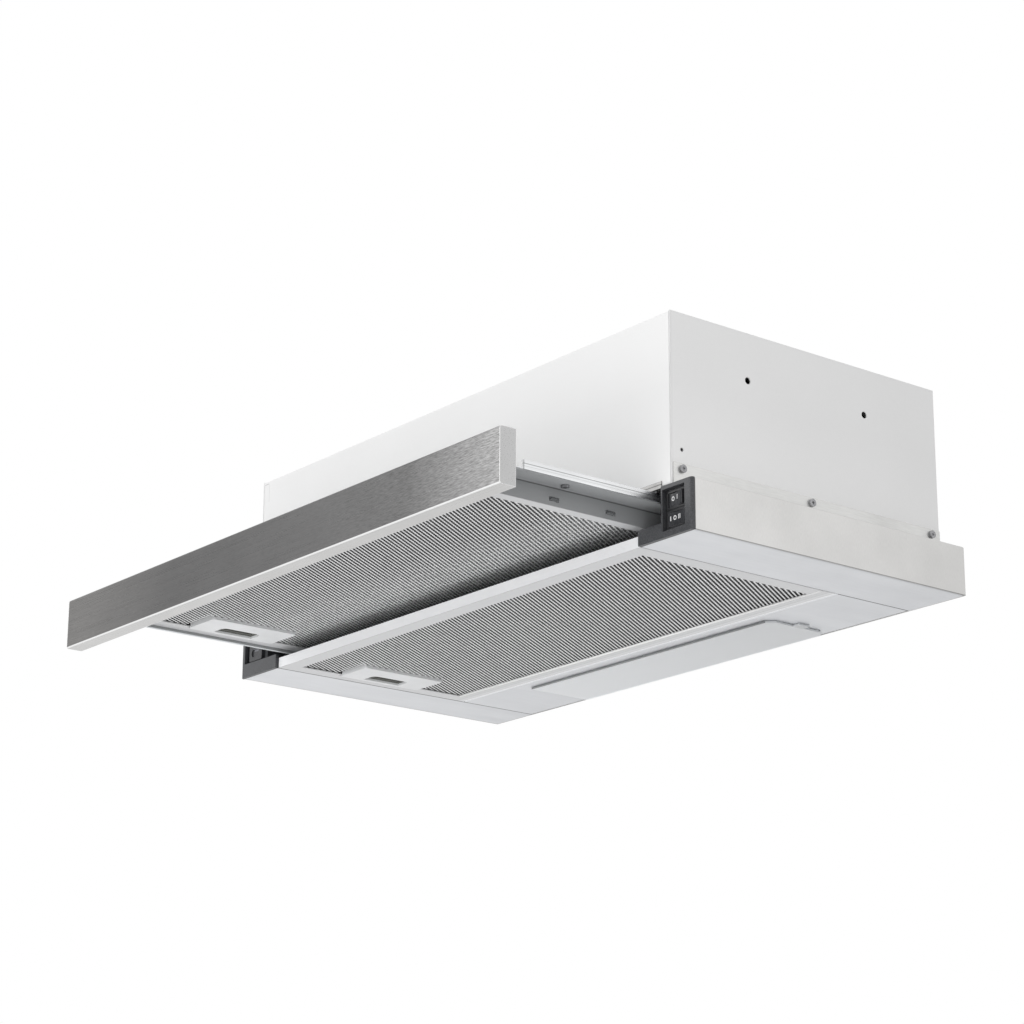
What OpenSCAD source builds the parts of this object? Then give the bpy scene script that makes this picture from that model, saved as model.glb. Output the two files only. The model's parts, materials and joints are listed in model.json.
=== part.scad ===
// Pull out range hood for a 600 mm wall cabinet, drawn with its drawer pulled out.
// Millimetres. X runs to the right, Y runs back to the wall at Y = 0, Z runs up from the underside.

/* [Base] */
// Width of the base over its side faces
base_w = 600; // [590:1:620]
// Height of the base
base_h = 40.5; // [40:0.5:42]
// Thickness of the sheet metal
sheet_t = 1; // [0.8:0.1:1.1]
// Outer radius of the bends in the sheet metal
bend_r = 1.6; // [1.3:0.1:2]
// Width of the flat border on the right of the underside
border_w = 60; // [59:0.5:62]
// Width of the flat border on the left of the underside
border_left_w = 55; // [54:0.5:57]
// Gap between neighbouring sheets
seam = 0.3; // [0.2:0.05:0.4]
// Height of the edges turned up inside the base
skirt_h = 12; // [8:1:14]
// Width of the deck that the slides hang from
deck_w = 57; // [56:0.5:57]
// Top of the cross rail above the top of the base
rail_rise = 4.5; // [3:0.5:8]
// Depth of the cross rail's flat leg
rail_leg = 15; // [10:1:20]
// Gap between the front plane and the cross rail
rail_setback = 1; // [0.5:0.1:1]

/* [Housing] */
// Distance from the side of the base to the side of the housing
housing_side_inset = 23.75; // [20:0.25:26]
// Distance from the front and back of the base to the housing
housing_end_inset = 2; // [2:0.25:4]
// Height of the housing's top above the underside
housing_top = 178; // [176:1:190]
// Width of the edges folded inside the housing
lap_w = 12; // [8:1:14]
// Height of the steel strips along the housing's feet
strip_h = 17.5; // [16:0.5:22]
// Width of the strips' foot on the base
strip_foot = 8; // [5:1:12]
// Radius of the holes for the cabinet screws
cabinet_hole_r = 2.8; // [2.2:0.1:3.5]
// Distance between the two cabinet screw holes of one side
cabinet_hole_pitch = 126; // [110:1:140]
// Distance from the base's front to the front cabinet screw hole
cabinet_hole_front = 81.2; // [60:1:100]
// Height of the cabinet screw holes above the underside
cabinet_hole_z = 139.2; // [120:1:150]
// Radius of the small pilot hole beside the front edge
pilot_hole_r = 1.5; // [1:0.1:2]
// Distance from the base's front to the pilot hole
pilot_hole_front = 12.5; // [10:0.5:14]
// Height of the pilot hole above the underside
pilot_hole_z = 69; // [64:1:76]
// Height of the strip screws above the top of the base
strip_screw_rise = 13; // [8:0.5:14]
// Distance from the ends of the base to the outer strip screws
strip_screw_end = 11.7; // [10:0.5:20]

/* [Screws] */
// Radius of a sheet metal screw's shank
screw_r = 1.6; // [1.2:0.1:1.8]
// Radius of a sheet metal screw's head
screw_head_r = 3.2; // [2.6:0.1:3.6]
// Height of a sheet metal screw's head
screw_head_h = 1.8; // [1.2:0.1:2.4]
// Length of a sheet metal screw's shank
screw_l = 6; // [4:0.5:7]
// Radial play of a screw in its hole
screw_play = 0.2; // [0.1:0.05:0.3]
// Radius of the cross recess in a screw head
screw_drive_r = 1.4; // [0.8:0.1:1.8]
// Depth of the cross recess in a screw head
screw_drive_h = 0.8; // [0.4:0.1:1]

/* [Filters] */
// Depth of a filter from front to back
filter_d = 204; // [196:1:204]
// Thickness of a filter
filter_t = 9; // [8:0.5:10]
// Gap between a filter's ends and the base's borders
filter_gap = 0.7; // [0.5:0.1:1]
// Distance from the base's front to the fixed filter
filter_front = 3; // [3:0.5:4]
// Width of the filter frame's edge
frame_w = 15; // [13:0.5:17]
// Thickness of the filter frame's metal
frame_t = 0.8; // [0.6:0.1:1]
// Thickness of one sheet of the mesh
mesh_t = 1; // [0.8:0.1:1.2]
// Clearance of the mesh inside the frame
mesh_play = 0.1; // [0.1:0.05:0.2]
// Width of one diamond of the mesh
mesh_pitch_x = 26; // [22:1:32]
// Length of one diamond of the mesh
mesh_pitch_y = 42; // [36:1:52]
// Width of a strand of the mesh
mesh_strand = 2.4; // [1.6:0.2:3]
// Distance from a filter's front to the middle of its handle
handle_mid = 99; // [96:0.5:102]
// Length of the handle along the filter's end
handle_l = 84; // [78:1:88]
// Width of the handle
handle_w = 40; // [38:0.5:42]
// Distance from the filter's end to the handle
handle_inset = 12.3; // [11:0.5:13]
// How far the handle stands below the filter
handle_drop = 1; // [0.6:0.1:1.4]
// Height of the handle's inner walls
handle_wall_h = 5.5; // [5:0.5:6]
// Thickness of the handle's plastic
handle_t = 1.6; // [1.2:0.1:1.8]
// Corner radius of the handle
handle_r = 3; // [2:0.5:4]
// Length of the finger recess
finger_l = 38; // [34:1:42]
// Width of the finger recess
finger_w = 16; // [14:0.5:17]
// Distance from the handle's outer edge to the finger recess
finger_inset = 4; // [3:0.5:5]
// Corner radius of the finger recess
finger_r = 5; // [3:0.5:6]
// Thickness of the latch plate and its bolts
latch_t = 1.2; // [1:0.1:1.4]
// Travel of the latch
latch_travel = 7; // [6:0.5:7]
// How far the bolts reach past the filter's end
bolt_reach = 5.6; // [5.2:0.1:6]
// How far the tongues reach past the filter's other end
tongue_reach = 4.6; // [4:0.1:4.6]
// Width of a tongue and of a bolt
tongue_w = 7.5; // [6:0.5:8]
// Distance between the two tongues and between the two bolts
tongue_pitch = 53.5; // [48:0.5:58]
// Height of the slots for tongues and bolts in the drawer
slot_h = 3.5; // [3.2:0.1:4]
// Width of the slots for tongues and bolts in the drawer
slot_w = 9; // [8.5:0.5:11]

/* [Drawer] */
// Distance from the switch caps to the back of the front panel, as photographed
drawer_out = 162.6; // [150:0.2:164]
// Thickness of the front panel
panel_t = 14.4; // [12:0.2:18]
// Height of the front panel
panel_h = 42.4; // [42:0.2:46]
// How far the front panel reaches below the base
panel_drop = 1; // [0:0.2:2]
// Distance from the base's side face to the panel's end
panel_end_gap = 1; // [0:0.25:3]
// Gap between the front panel and the drawer filter
panel_filter_gap = 6.6; // [6:0.2:8]
// Height of the drawer filter's underside above the base's underside
drawer_filter_z = 17; // [16.5:0.5:18]
// Height of the drawer walls' lower edge
wall_z = 14; // [13.5:0.25:15]
// Height of the drawer walls
wall_h = 15.6; // [15:0.1:16]
// Distance from the border's inner edge to the drawer wall
wall_offset = 3; // [2.5:0.1:3.2]
// Width of the drawer walls' flange
wall_flange = 17.5; // [16:0.5:18]
// Distance from the drawer filter's back to the drawer's back
rear_gap = 10; // [8:0.5:12]
// Depth of the beams' ledge under the glass
beam_ledge = 15; // [10:1:18]
// Thickness of the glass
glass_t = 4; // [3:0.5:5]
// Distance of the flange screws from the drawer wall
flange_screw_inset = 9; // [8.5:0.1:9.5]

/* [Slides] */
// Outer width of a slide
slide_w = 16.4; // [16:0.2:17]
// Thickness of the slides' steel
slide_t = 1.2; // [1:0.1:1.3]
// Height of the drawer member
slide_h = 7; // [6.8:0.1:7.4]
// Length of the drawer member
slide_l = 206; // [200:1:210]
// Distance from the back of the front panel to the drawer member
slide_setback = 36.6; // [34:0.5:40]
// Length of the cabinet member
slide_fixed_l = 210; // [200:1:220]
// Distance from the base's front to the cabinet member
slide_fixed_front = 4; // [3:0.5:5]
// Gap between the drawer wall and the slide
slide_wall_gap = 1.8; // [1.6:0.1:2]
// Radius of the balls
ball_r = 1.5; // [1.4:0.05:1.55]
// Play of the balls in their races
ball_play = 0.15; // [0.1:0.05:0.2]
// Distance between the balls of one row
ball_pitch = 13; // [11:1:14]
// Balls in one row
ball_count = 5; // [3:1:5]
// Length of the ball cage
cage_l = 70; // [68:1:72]
// Thickness of the ball cage
cage_t = 0.7; // [0.5:0.1:0.8]
// Clearance of the ball cage from the drawer member's floor
cage_gap = 0.3; // [0.25:0.05:0.35]
// Width of the drawer member's lips
slide_lip = 2.1; // [1.8:0.1:2.2]

/* [Switches] */
// Thickness of the switch caps' face
cap_t = 3; // [2.4:0.1:3.4]
// Radius of the caps' outer front edge
cap_r = 2.5; // [1.5:0.25:2.6]
// Width of the passage for the slide beside a cap
passage_w = 26; // [25:0.5:27]
// Height of the caps' sill under the slide
sill_h = 12; // [11:0.5:13]
// Width of the recess in the right cap
recess_w = 24.5; // [24:0.5:25]
// Distance from the cap's outer edge to the recess
recess_edge = 8; // [7.5:0.5:8]
// Height of the recess's lower edge
recess_z = 5; // [4.5:0.5:6]
// Height of the recess
recess_h = 32.2; // [31.6:0.2:32.6]
// Depth of the recess
recess_d = 5; // [4.5:0.25:5.5]
// Wall thickness of the caps
cap_wall = 1.6; // [1.2:0.1:1.6]
// Depth of the caps inside the base
cap_d = 30; // [28:1:34]
// Width of a switch
switch_w = 22.8; // [22.6:0.1:23]
// Height of a switch
switch_h = 14.4; // [14.2:0.1:14.6]
// Depth of a switch body behind the cap's recess
switch_d = 16; // [14:1:20]
// How far a switch's bezel stands out of the recess floor
bezel_t = 1.5; // [1:0.1:1.8]
// Height of the middle of the light switch
light_switch_z = 28.7; // [28.5:0.1:29]
// Height of the middle of the fan switch
fan_switch_z = 13.7; // [13.4:0.1:13.8]
// Width of a rocker
rocker_w = 17.2; // [16.6:0.2:17.6]
// Height of a rocker
rocker_h = 10.6; // [10:0.1:10.8]
// Depth of a rocker from its corners to its pivot
rocker_d = 4; // [3.6:0.1:4.2]
// How far a rocker's middle lies behind its corners
rocker_dish = 1.2; // [0.8:0.1:1.4]
// How far a rocker's corners stand out of the bezel
rocker_proud = 0.6; // [0.3:0.1:0.8]
// Swing of a rocker to each side, in degrees
rocker_tilt = 10; // [6:1:11]
// Clearance between a rocker and its bezel
rocker_gap = 0.3; // [0.25:0.05:0.35]
// Radius of a rocker's pivot
rocker_pin_r = 1.1; // [0.8:0.1:1.2]
// Length of a rocker's pivot inside the switch's wall
rocker_pin_bite = 0.7; // [0.5:0.1:0.8]
// Radial running clearance of pins in their holes
pin_play = 0.06; // [0.04:0.01:0.08]
// Width of the left cap's outer edge
left_edge = 5; // [4:0.5:6]
// Distance from the left cap's outer edge to the middle of its blank insert
blank_edge = 20; // [19:0.5:21]
// Width of the blank insert in the left cap
blank_w = 19.5; // [18:0.5:20]
// Height of the blank insert
blank_h = 14; // [12:0.5:16]
// How far the blank insert stands out of the recess floor
blank_t = 3.5; // [2.5:0.25:4]
// Height of the blank insert above the sill
blank_rise = 1.4; // [1:0.2:2]

/* [Lamp] */
// Depth of the lamp panel behind the fixed filter, which sets the depth of the base
lamp_panel_d = 80.7; // [77:0.1:90]
// Gap between the fixed filter and the lamp panel
lamp_panel_gap = 1; // [0.5:0.1:1.5]
// Height of the lamp panel's front lip
lamp_lip_h = 8; // [6:0.5:9]
// Left end of the lamp cover
lamp_cover_x0 = -160; // [-170:1:-150]
// Length of the lamp cover
lamp_cover_l = 310; // [290:1:320]
// Distance from the lamp panel's front to the lamp cover
lamp_cover_front = 12; // [11:0.5:13]
// Distance from the lamp cover to the back of the base
lamp_cover_rear = 5; // [4:0.5:7]
// Thickness of the lamp cover
lamp_cover_t = 1.5; // [1.2:0.1:2]
// Gap between the lamp cover and the panel
lamp_cover_gap = 0.3; // [0.3:0.05:0.5]
// Width of the lamp panel's seat round the opening
lamp_seat = 5; // [4:0.5:6]
// Height of the lamp cover's rim inside the opening
lamp_rim_h = 5; // [4:0.5:6]
// Chamfer of the lamp cover's free corners as a share of its depth
lamp_chamfer_share = 0.11; // [0.06:0.01:0.14]
// Length of the lamp cover's finger tab
lamp_tab_l = 7; // [5:0.5:9]
// Width of the lamp cover's finger tab as a share of the cover's depth
lamp_tab_share = 0.18; // [0.12:0.01:0.25]
// Height of the lamp tray above the lamp panel
lamp_tray_h = 11.5; // [11:0.1:11.8]
// Length of the LED board
led_board_l = 264; // [240:2:270]
// Width of the LED board as a share of the lamp cover's depth
led_board_share = 0.25; // [0.2:0.01:0.3]
// Thickness of the LED board
led_board_t = 1.2; // [1:0.1:1.6]
// Number of LEDs
led_count = 12; // [8:1:16]
// Width of one LED
led_w = 3.5; // [2.8:0.1:4]
// Height of one LED
led_h = 0.8; // [0.6:0.1:1]

/* [Blower] */
// Distance from the base's front to the impeller's axle
fan_y = 111; // [108:1:114]
// Height of the impeller's axle
fan_z = 116; // [115:1:118]
// Outer radius of the impeller
impeller_r = 50; // [46:1:51]
// Radial depth of the impeller's blades
blade_d = 10; // [8:1:11]
// Thickness of a blade
blade_t = 1.2; // [1:0.1:1.4]
// Width of the impeller
impeller_w = 96; // [90:1:98]
// Number of blades
blade_count = 32; // [24:1:36]
// Thickness of the impeller's rings and disc
impeller_t = 2; // [1.6:0.2:2.4]
// Radius of the scroll at its tongue
scroll_r0 = 55; // [54:0.5:56]
// Radius of the scroll at its outlet
scroll_r1 = 78; // [76:1:80]
// Angle of the scroll's tongue, in degrees
scroll_start = 100; // [95:1:105]
// Width of the scroll
scroll_w = 116; // [112:1:120]
// Wall thickness of the scroll
scroll_t = 2; // [1.6:0.1:2.2]
// Radius of the scroll's inlets
inlet_r = 42; // [41:0.5:44]
// Radius of the motor
motor_r = 32; // [28:1:34]
// Length of the motor
motor_l = 62; // [56:1:62]
// Radius of the motor's shaft
shaft_r = 4; // [3:0.25:4.5]
// Length of the shaft inside the motor
shaft_in = 30; // [20:1:40]
// Radius of the impeller's hub
hub_r = 10; // [8:1:12]
// Width of the motor holder's arms
arm_w = 12; // [8:1:14]
// Radius of the capacitor
capacitor_r = 16; // [14:1:18]
// Length of the capacitor
capacitor_l = 62; // [56:1:70]
// Distance of the capacitor from the middle of the hood
capacitor_x = 150; // [130:1:180]
// Length of the terminal box
terminal_l = 90; // [80:1:96]
// Depth of the terminal box
terminal_d = 54; // [46:1:58]
// Height of the terminal box
terminal_h = 34; // [28:1:38]
// Distance from the housing's side to the middle of the terminal box
terminal_inset = 76.25; // [70.25:1:96.25]
// Wall thickness of the terminal box
terminal_t = 2; // [1.6:0.1:2.4]
// Radius of the cable gland's thread
gland_r = 8; // [6:0.5:9]
// Radius of the cable gland's body
gland_body_r = 11.5; // [10:0.5:13]
// Height of the cable gland above the housing
gland_h = 14; // [10:1:18]
// Radius of the cable gland's opening
gland_hole_r = 3.6; // [3:0.1:4]

/* [Outlet] */
// Outer radius of the duct spigot
spigot_r = 60; // [58:0.5:60]
// Wall thickness of the duct spigot
spigot_t = 2; // [1.8:0.1:2.4]
// Height of the duct spigot above its flange
spigot_h = 34; // [28:1:40]
// Distance from the base's front to the middle of the outlet
outlet_y = 145; // [142:1:150]
// Width of the spigot's flange
outlet_flange_w = 9; // [7:1:12]
// Thickness of the spigot's flange
outlet_flange_t = 2; // [1.6:0.1:2.6]
// Thickness of the flaps
flap_t = 1.2; // [1:0.1:1.6]
// Gap between the flaps and the spigot
flap_gap = 1.2; // [1:0.1:2]
// Radius of the flaps' pins
flap_pin_r = 1.5; // [1.2:0.1:2]
// Distance between the two flap pins
flap_pin_pitch = 7; // [6:0.5:9]
// Width of the ledge that the flaps rest on
flap_ledge = 3; // [2.6:0.1:4]

/* [Hidden] */

// Overrun of every cut
over = 1;
// Straight steps in a bend of the sheet metal
bend_steps = 4;
// Steps of the scroll's spiral
spiral_steps = 30;
// Straight steps in a blade
blade_steps = 3;
// Lean of a blade's tip behind its root, in degrees
blade_lean = 8;

// Depth of a rocker's flat back behind its pivot, and its half width, as shares of the rocker's
rocker_back_share = 0.9;
rocker_foot_share = 1 / 3;
// Dish of a rocker half way to its corners, as a share of the dish in its middle
rocker_curve_share = 0.75;
// Dimple of the blank insert: its depth, margin and corner radius as shares of the insert
dimple_shares = [1 / 3, 1 / 4, 1 / 5];
// Length and radius of the motor's end bells as shares of the motor's
bell_l_share = 1 / 5;
bell_r_share = 7 / 8;
// Radius and height of the capacitor's cap as shares of its radius
capacitor_cap_shares = [4 / 5, 1 / 4];
// Radius of the gland's dome at its foot and at its top as shares of its body's
dome_shares = [0.9, 0.6];
// Depth of the gland's thread below the housing as a share of the terminal box's height
gland_thread_share = 1 / 3;

// The base's depth from the switch caps to the wall holds a filter, the lamp panel and the rear wall
lamp_panel_y0 = filter_front + filter_d + lamp_panel_gap;
lamp_panel_y1 = lamp_panel_y0 + lamp_panel_d;
base_d = lamp_panel_y1 + seam + sheet_t;

half_w = base_w / 2;
front_y = -base_d;
open_x = half_w - border_w;
open_left = half_w - border_left_w;
passage_x = open_x + passage_w;
inside_x = half_w - sheet_t - seam;
inside_z = base_h - sheet_t;
housing_x = half_w - housing_side_inset;
housing_in_x = housing_x - sheet_t;
ceiling_z = housing_top - sheet_t;
housing_y0 = housing_end_inset;
housing_y1 = base_d - housing_end_inset;
strip_screw_ys = [strip_screw_end, base_d / 2, base_d - strip_screw_end];
strip_screw_z = base_h + strip_screw_rise;
deck_x = half_w - deck_w;
wall_x = open_x + wall_offset;
flange_top = wall_z + wall_h;
slide_x0 = wall_x + slide_wall_gap;
slide_x1 = slide_x0 + slide_w;
slide_mid = slide_x0 + slide_w / 2;
ball_x = slide_w / 2 - slide_t - ball_play - ball_r;
ball_z = flange_top + slide_t + cage_gap + cage_t + ball_play + ball_r;
rail_x = ball_x - ball_r - ball_play;
filter_x = (open_x + open_left) / 2 - filter_gap;
filter_mid = (open_x - open_left) / 2;
drawer_filter_mid = seam + filter_x - wall_x;
handle_x0 = -filter_x + handle_inset;
handle_x1 = handle_x0 + handle_w;
handle_y0 = handle_mid - handle_l / 2;
handle_y1 = handle_mid + handle_l / 2;
tongue_ys = [handle_mid - tongue_pitch / 2, handle_mid + tongue_pitch / 2];
tongue_z = sheet_t + seam;
panel_x = half_w - panel_end_gap;
panel_z0 = -panel_drop;
panel_z1 = panel_z0 + panel_h;
panel_back = -drawer_out;
panel_front = panel_back - panel_t;
beam_x = wall_x - seam;
drawer_filter_y = panel_back + panel_filter_gap;
drawer_rear = drawer_filter_y + filter_d + rear_gap;
flange_screw_ys = [drawer_filter_y + tongue_ys[0] + tongue_w / 2, drawer_rear - 2 * rear_gap];
runner_y0 = panel_back + slide_setback;
runner_y1 = runner_y0 + slide_l;
cage_mid = (slide_fixed_front + runner_y1) / 2;
lamp_x1 = lamp_cover_x0 + lamp_cover_l;
lamp_y0 = lamp_panel_y0 + lamp_cover_front;
lamp_y1 = base_d - lamp_cover_rear;
lamp_mid = (lamp_y0 + lamp_y1) / 2;
lamp_chamfer = (lamp_y1 - lamp_y0) * lamp_chamfer_share;
lamp_tab_w = (lamp_y1 - lamp_y0) * lamp_tab_share;
led_board_w = (lamp_y1 - lamp_y0) * led_board_share;
lamp_tray_z = sheet_t + lamp_tray_h;
cap_h = base_h - seam;
recess_x1 = half_w - recess_edge;
recess_x0 = recess_x1 - recess_w;
recess_mid = (recess_x0 + recess_x1) / 2;
rocker_y = recess_d - bezel_t - rocker_proud + rocker_d;
rocker_slot_w = rocker_w + 2 * (rocker_d * sin(rocker_tilt) + rocker_gap);
terminal_x = housing_x - terminal_inset;
gland_y = housing_y1 - sheet_t - terminal_d / 2 - lap_w;
outlet_top = housing_top + outlet_flange_t + spigot_h;
flap_z = housing_top + outlet_flange_t + seam + flap_pin_r;

// Plane geometry for bent sheets

function unit(v) = v / norm(v);
function left_of(v) = [-v[1], v[0]];
function cross2(a, b) = a[0] * b[1] - a[1] * b[0];
function turned(v, q) = [v[0] * cos(q) - v[1] * sin(q), v[0] * sin(q) + v[1] * cos(q)];
function way_in(p, i) = unit(p[max(i, 1)] - p[max(i, 1) - 1]);
function way_out(p, i) = unit(p[min(i, len(p) - 2) + 1] - p[min(i, len(p) - 2)]);

// One corner of a path as an arc of radius r
function bend_at(p, i, r) =
    let (a = way_in(p, i), b = way_out(p, i), q = atan2(cross2(a, b), a * b))
    let (s = p[i] - a * r * tan(abs(q) / 2), c = s + left_of(a) * r * sign(q))
    [for (k = [0:bend_steps]) c + turned(s - c, q * k / bend_steps)];

function bent(p, r) = [
    for (i = [0:len(p) - 1]) each (i == 0 || i == len(p) - 1) ? [p[i]] : bend_at(p, i, r)
];

// A point moved to the left of its path by t, with mitred corners
function beside(p, i, t) =
    let (na = left_of(way_in(p, i)), nb = left_of(way_out(p, i))) p[i] + t * (na + nb) / (1 + na * nb);

function strip(p, t) = concat(p, [for (i = [len(p) - 1:-1:0]) beside(p, i, t)]);

module from_front() {
    translate([0, front_y, 0]) children();
}

module on_side(s) {
    if (s > 0) children();
    else mirror([1, 0, 0]) children();
}

module block(x, y, z) {
    translate([x[0], y[0], z[0]]) cube([x[1] - x[0], y[1] - y[0], z[1] - z[0]]);
}

// A flat outline in Y and Z, drawn out along X
module along_x(x) {
    translate([x[0], 0, 0]) rotate([90, 0, 90]) linear_extrude(x[1] - x[0]) children();
}

// A flat outline in X and Z, drawn out along Y
module along_y(y) {
    translate([0, y[1], 0]) rotate([90, 0, 0]) linear_extrude(y[1] - y[0]) children();
}

module along_z(z) {
    translate([0, 0, z[0]]) linear_extrude(z[1] - z[0]) children();
}

// Sheet metal bent along a path, its thickness on the path's left
module bent_sheet(path) {
    polygon(strip(bent(path, bend_r), sheet_t));
}

module rod_x(x, y, z, r) {
    translate([x[0], y, z]) rotate([0, 90, 0]) cylinder(r = r, h = x[1] - x[0], $fn = 48);
}

module rod_y(x, y, z, r) {
    translate([x, y[1], z]) rotate([90, 0, 0]) cylinder(r = r, h = y[1] - y[0], $fn = 48);
}

module rod_z(x, y, z, r) {
    translate([x, y, z[0]]) cylinder(r = r, h = z[1] - z[0], $fn = 48);
}

// A rectangle with round corners, from true arcs
module round_rect(x, y, r) {
    translate([x[0] + r, y[0]]) square([x[1] - x[0] - 2 * r, y[1] - y[0]]);
    translate([x[0], y[0] + r]) square([x[1] - x[0], y[1] - y[0] - 2 * r]);
    for (cx = [x[0] + r, x[1] - r], cy = [y[0] + r, y[1] - r]) translate([cx, cy]) circle(r = r, $fn = 32);
}

// A pan head screw along Z, head down at Z = 0
module screw(l) {
    difference() {
        translate([0, 0, -screw_head_h]) cylinder(r = screw_head_r, h = screw_head_h, $fn = 32);
        for (q = [0, 90]) rotate([0, 0, q]) block(
            [-screw_drive_r, screw_drive_r],
            [-screw_drive_h / 2, screw_drive_h / 2],
            [-screw_head_h - over, -screw_head_h + screw_drive_h]
        );
    }
    cylinder(r = screw_r, h = l, $fn = 32);
}

// Housing

module housing_wrap() {
    e = housing_y0 + lap_w;
    path = [
        [housing_y1 - lap_w, base_h], [housing_y1, base_h], [housing_y1, housing_top],
        [housing_y0, housing_top], [housing_y0, base_h], [e, base_h]
    ];
    color("whitesmoke") from_front() difference() {
        along_x([-housing_in_x + seam, housing_in_x - seam]) bent_sheet(path);
        rod_z(0, outlet_y, [ceiling_z - over, housing_top + over], spigot_r - spigot_t);
        rod_z(terminal_x, gland_y, [ceiling_z - over, housing_top + over], gland_r + screw_play);
    }
}

// Side panel of the housing, a shallow tray with its edges folded inside the wrap
module housing_side(s) {
    x = housing_in_x;
    inner = sheet_t + seam;
    y = [housing_y0 + inner, housing_y1 - inner];
    top = housing_top - inner;
    through = [x - over, housing_x + over];
    color("gainsboro") from_front() on_side(s) difference() {
        union() {
            block([x, housing_x], [housing_y0, housing_y1], [base_h, housing_top]);
            block([x - lap_w, x + sheet_t], [y[0], y[0] + sheet_t], [base_h + inner, top]);
            block([x - lap_w, x + sheet_t], [y[1] - sheet_t, y[1]], [base_h + inner, top]);
            block([x - lap_w, x + sheet_t], y, [top - sheet_t, top]);
        }
        for (v = [cabinet_hole_front, cabinet_hole_front + cabinet_hole_pitch])
            rod_x(through, v, cabinet_hole_z, cabinet_hole_r);
        rod_x(through, pilot_hole_front, pilot_hole_z, pilot_hole_r);
        for (v = strip_screw_ys) rod_x(through, v, strip_screw_z, screw_r + screw_play);
    }
}

module housing_side_right() {
    housing_side(1);
}

module housing_side_left() {
    housing_side(-1);
}

module foot_strip(s) {
    x = housing_x;
    path = [[x, base_h + strip_h], [x, base_h], [x + sheet_t + strip_foot, base_h]];
    color("silver") from_front() on_side(s) difference() {
        along_y([cap_t + seam, housing_y1]) polygon(strip(path, sheet_t));
        for (v = strip_screw_ys)
            rod_x([x - over, x + sheet_t + over], v, strip_screw_z, screw_r + screw_play);
    }
}

module foot_strip_right() {
    foot_strip(1);
}

module foot_strip_left() {
    foot_strip(-1);
}

module foot_strip_screws() {
    color("gray") from_front() for (s = [1, -1], v = strip_screw_ys) on_side(s)
        translate([housing_x + sheet_t, v, strip_screw_z]) rotate([0, -90, 0]) screw(screw_l);
}

// Base

module base_side(s) {
    path = [[half_w, seam], [half_w, base_h], [deck_x, base_h]];
    color("silver") from_front() on_side(s) along_y([cap_t + seam, base_d]) bent_sheet(path);
}

module base_side_right() {
    base_side(1);
}

module base_side_left() {
    base_side(-1);
}

module bottom_border(s) {
    path = [[(s > 0 ? open_x : open_left) + seam / 2, 0], [inside_x, 0], [inside_x, skirt_h]];
    color("lightgray") from_front() on_side(s) along_y([cap_t + seam, lamp_panel_y1]) bent_sheet(path);
}

module bottom_border_right() {
    bottom_border(1);
}

module bottom_border_left() {
    bottom_border(-1);
}

module rear_wall() {
    path = [[base_d, 0], [base_d, inside_z - seam], [base_d - lap_w, inside_z - seam]];
    color("silver") from_front() along_x([-inside_x, inside_x]) bent_sheet(path);
}

module front_cross_rail() {
    x = passage_x - 2 * seam;
    y = rail_setback;
    color("silver") from_front() {
        along_x([-deck_x + 2 * seam, deck_x - 2 * seam]) polygon(strip(
            [[y, base_h + rail_rise], [y, inside_z], [y + rail_leg, inside_z]], sheet_t - seam / 2
        ));
        for (s = [1, -1]) on_side(s) block(
            [deck_x - 2 * seam - over, x], [y, y + sheet_t - seam / 2], [inside_z, base_h + rail_rise]
        );
    }
}

// Lamp

module lamp_panel() {
    y = [lamp_panel_y0, lamp_panel_y1];
    path = [[y[0], lamp_lip_h], [y[0], 0], [y[1], 0], [y[1], skirt_h]];
    color("lightgray") from_front() difference() {
        along_x([seam - open_left, open_x - seam]) bent_sheet(path);
        block(
            [lamp_cover_x0 + lamp_seat, lamp_x1 - lamp_seat],
            [lamp_y0 + lamp_seat, lamp_y1 - lamp_seat],
            [-over, sheet_t + over]
        );
    }
}

module lamp_tray() {
    x = [lamp_cover_x0, lamp_x1];
    y = [lamp_y0, lamp_y1];
    z = sheet_t;
    t = sheet_t;
    color("white") from_front() difference() {
        block(x, y, [z, lamp_tray_z]);
        block([x[0] + t, x[1] - t], [y[0] + t, y[1] - t], [z - over, lamp_tray_z - t]);
    }
}

module led_board() {
    y = lamp_mid;
    z = lamp_tray_z - sheet_t - led_board_t;
    mid = (lamp_cover_x0 + lamp_x1) / 2;
    pitch = led_board_l / led_count;
    color("ivory") from_front() {
        block(
            [mid - led_board_l / 2, mid + led_board_l / 2],
            [y - led_board_w / 2, y + led_board_w / 2],
            [z, z + led_board_t]
        );
        for (i = [0:led_count - 1]) translate([mid + (i + 0.5 - led_count / 2) * pitch, y, z])
            block([-led_w / 2, led_w / 2], [-led_w / 2, led_w / 2], [-led_h, 0]);
    }
}

// Clip-in cover with a rim inside the opening and a finger tab at its free end
module lamp_cover() {
    z0 = -lamp_cover_gap - lamp_cover_t;
    g = lamp_seat + lamp_cover_gap;
    x = [lamp_cover_x0, lamp_x1];
    y = [lamp_y0, lamp_y1];
    c = lamp_chamfer;
    tab = [lamp_mid - lamp_tab_w / 2, lamp_mid + lamp_tab_w / 2];
    color("aliceblue") from_front() {
        along_z([z0, z0 + lamp_cover_t]) polygon([
            [x[0], y[0]], [x[1] - c, y[0]], [x[1], y[0] + c], [x[1], tab[0]],
            [x[1] + lamp_tab_l, tab[0]], [x[1] + lamp_tab_l, tab[1]],
            [x[1], tab[1]], [x[1], y[1] - c], [x[1] - c, y[1]], [x[0], y[1]]
        ]);
        difference() {
            block([x[0] + g, x[1] - g], [y[0] + g, y[1] - g], [z0, z0 + lamp_cover_t + lamp_rim_h]);
            block(
                [x[0] + g + lamp_cover_t, x[1] - g - lamp_cover_t],
                [y[0] + g + lamp_cover_t, y[1] - g - lamp_cover_t],
                [z0 + lamp_cover_t, z0 + lamp_cover_t + lamp_rim_h + over]
            );
        }
    }
}

// Switches

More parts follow.
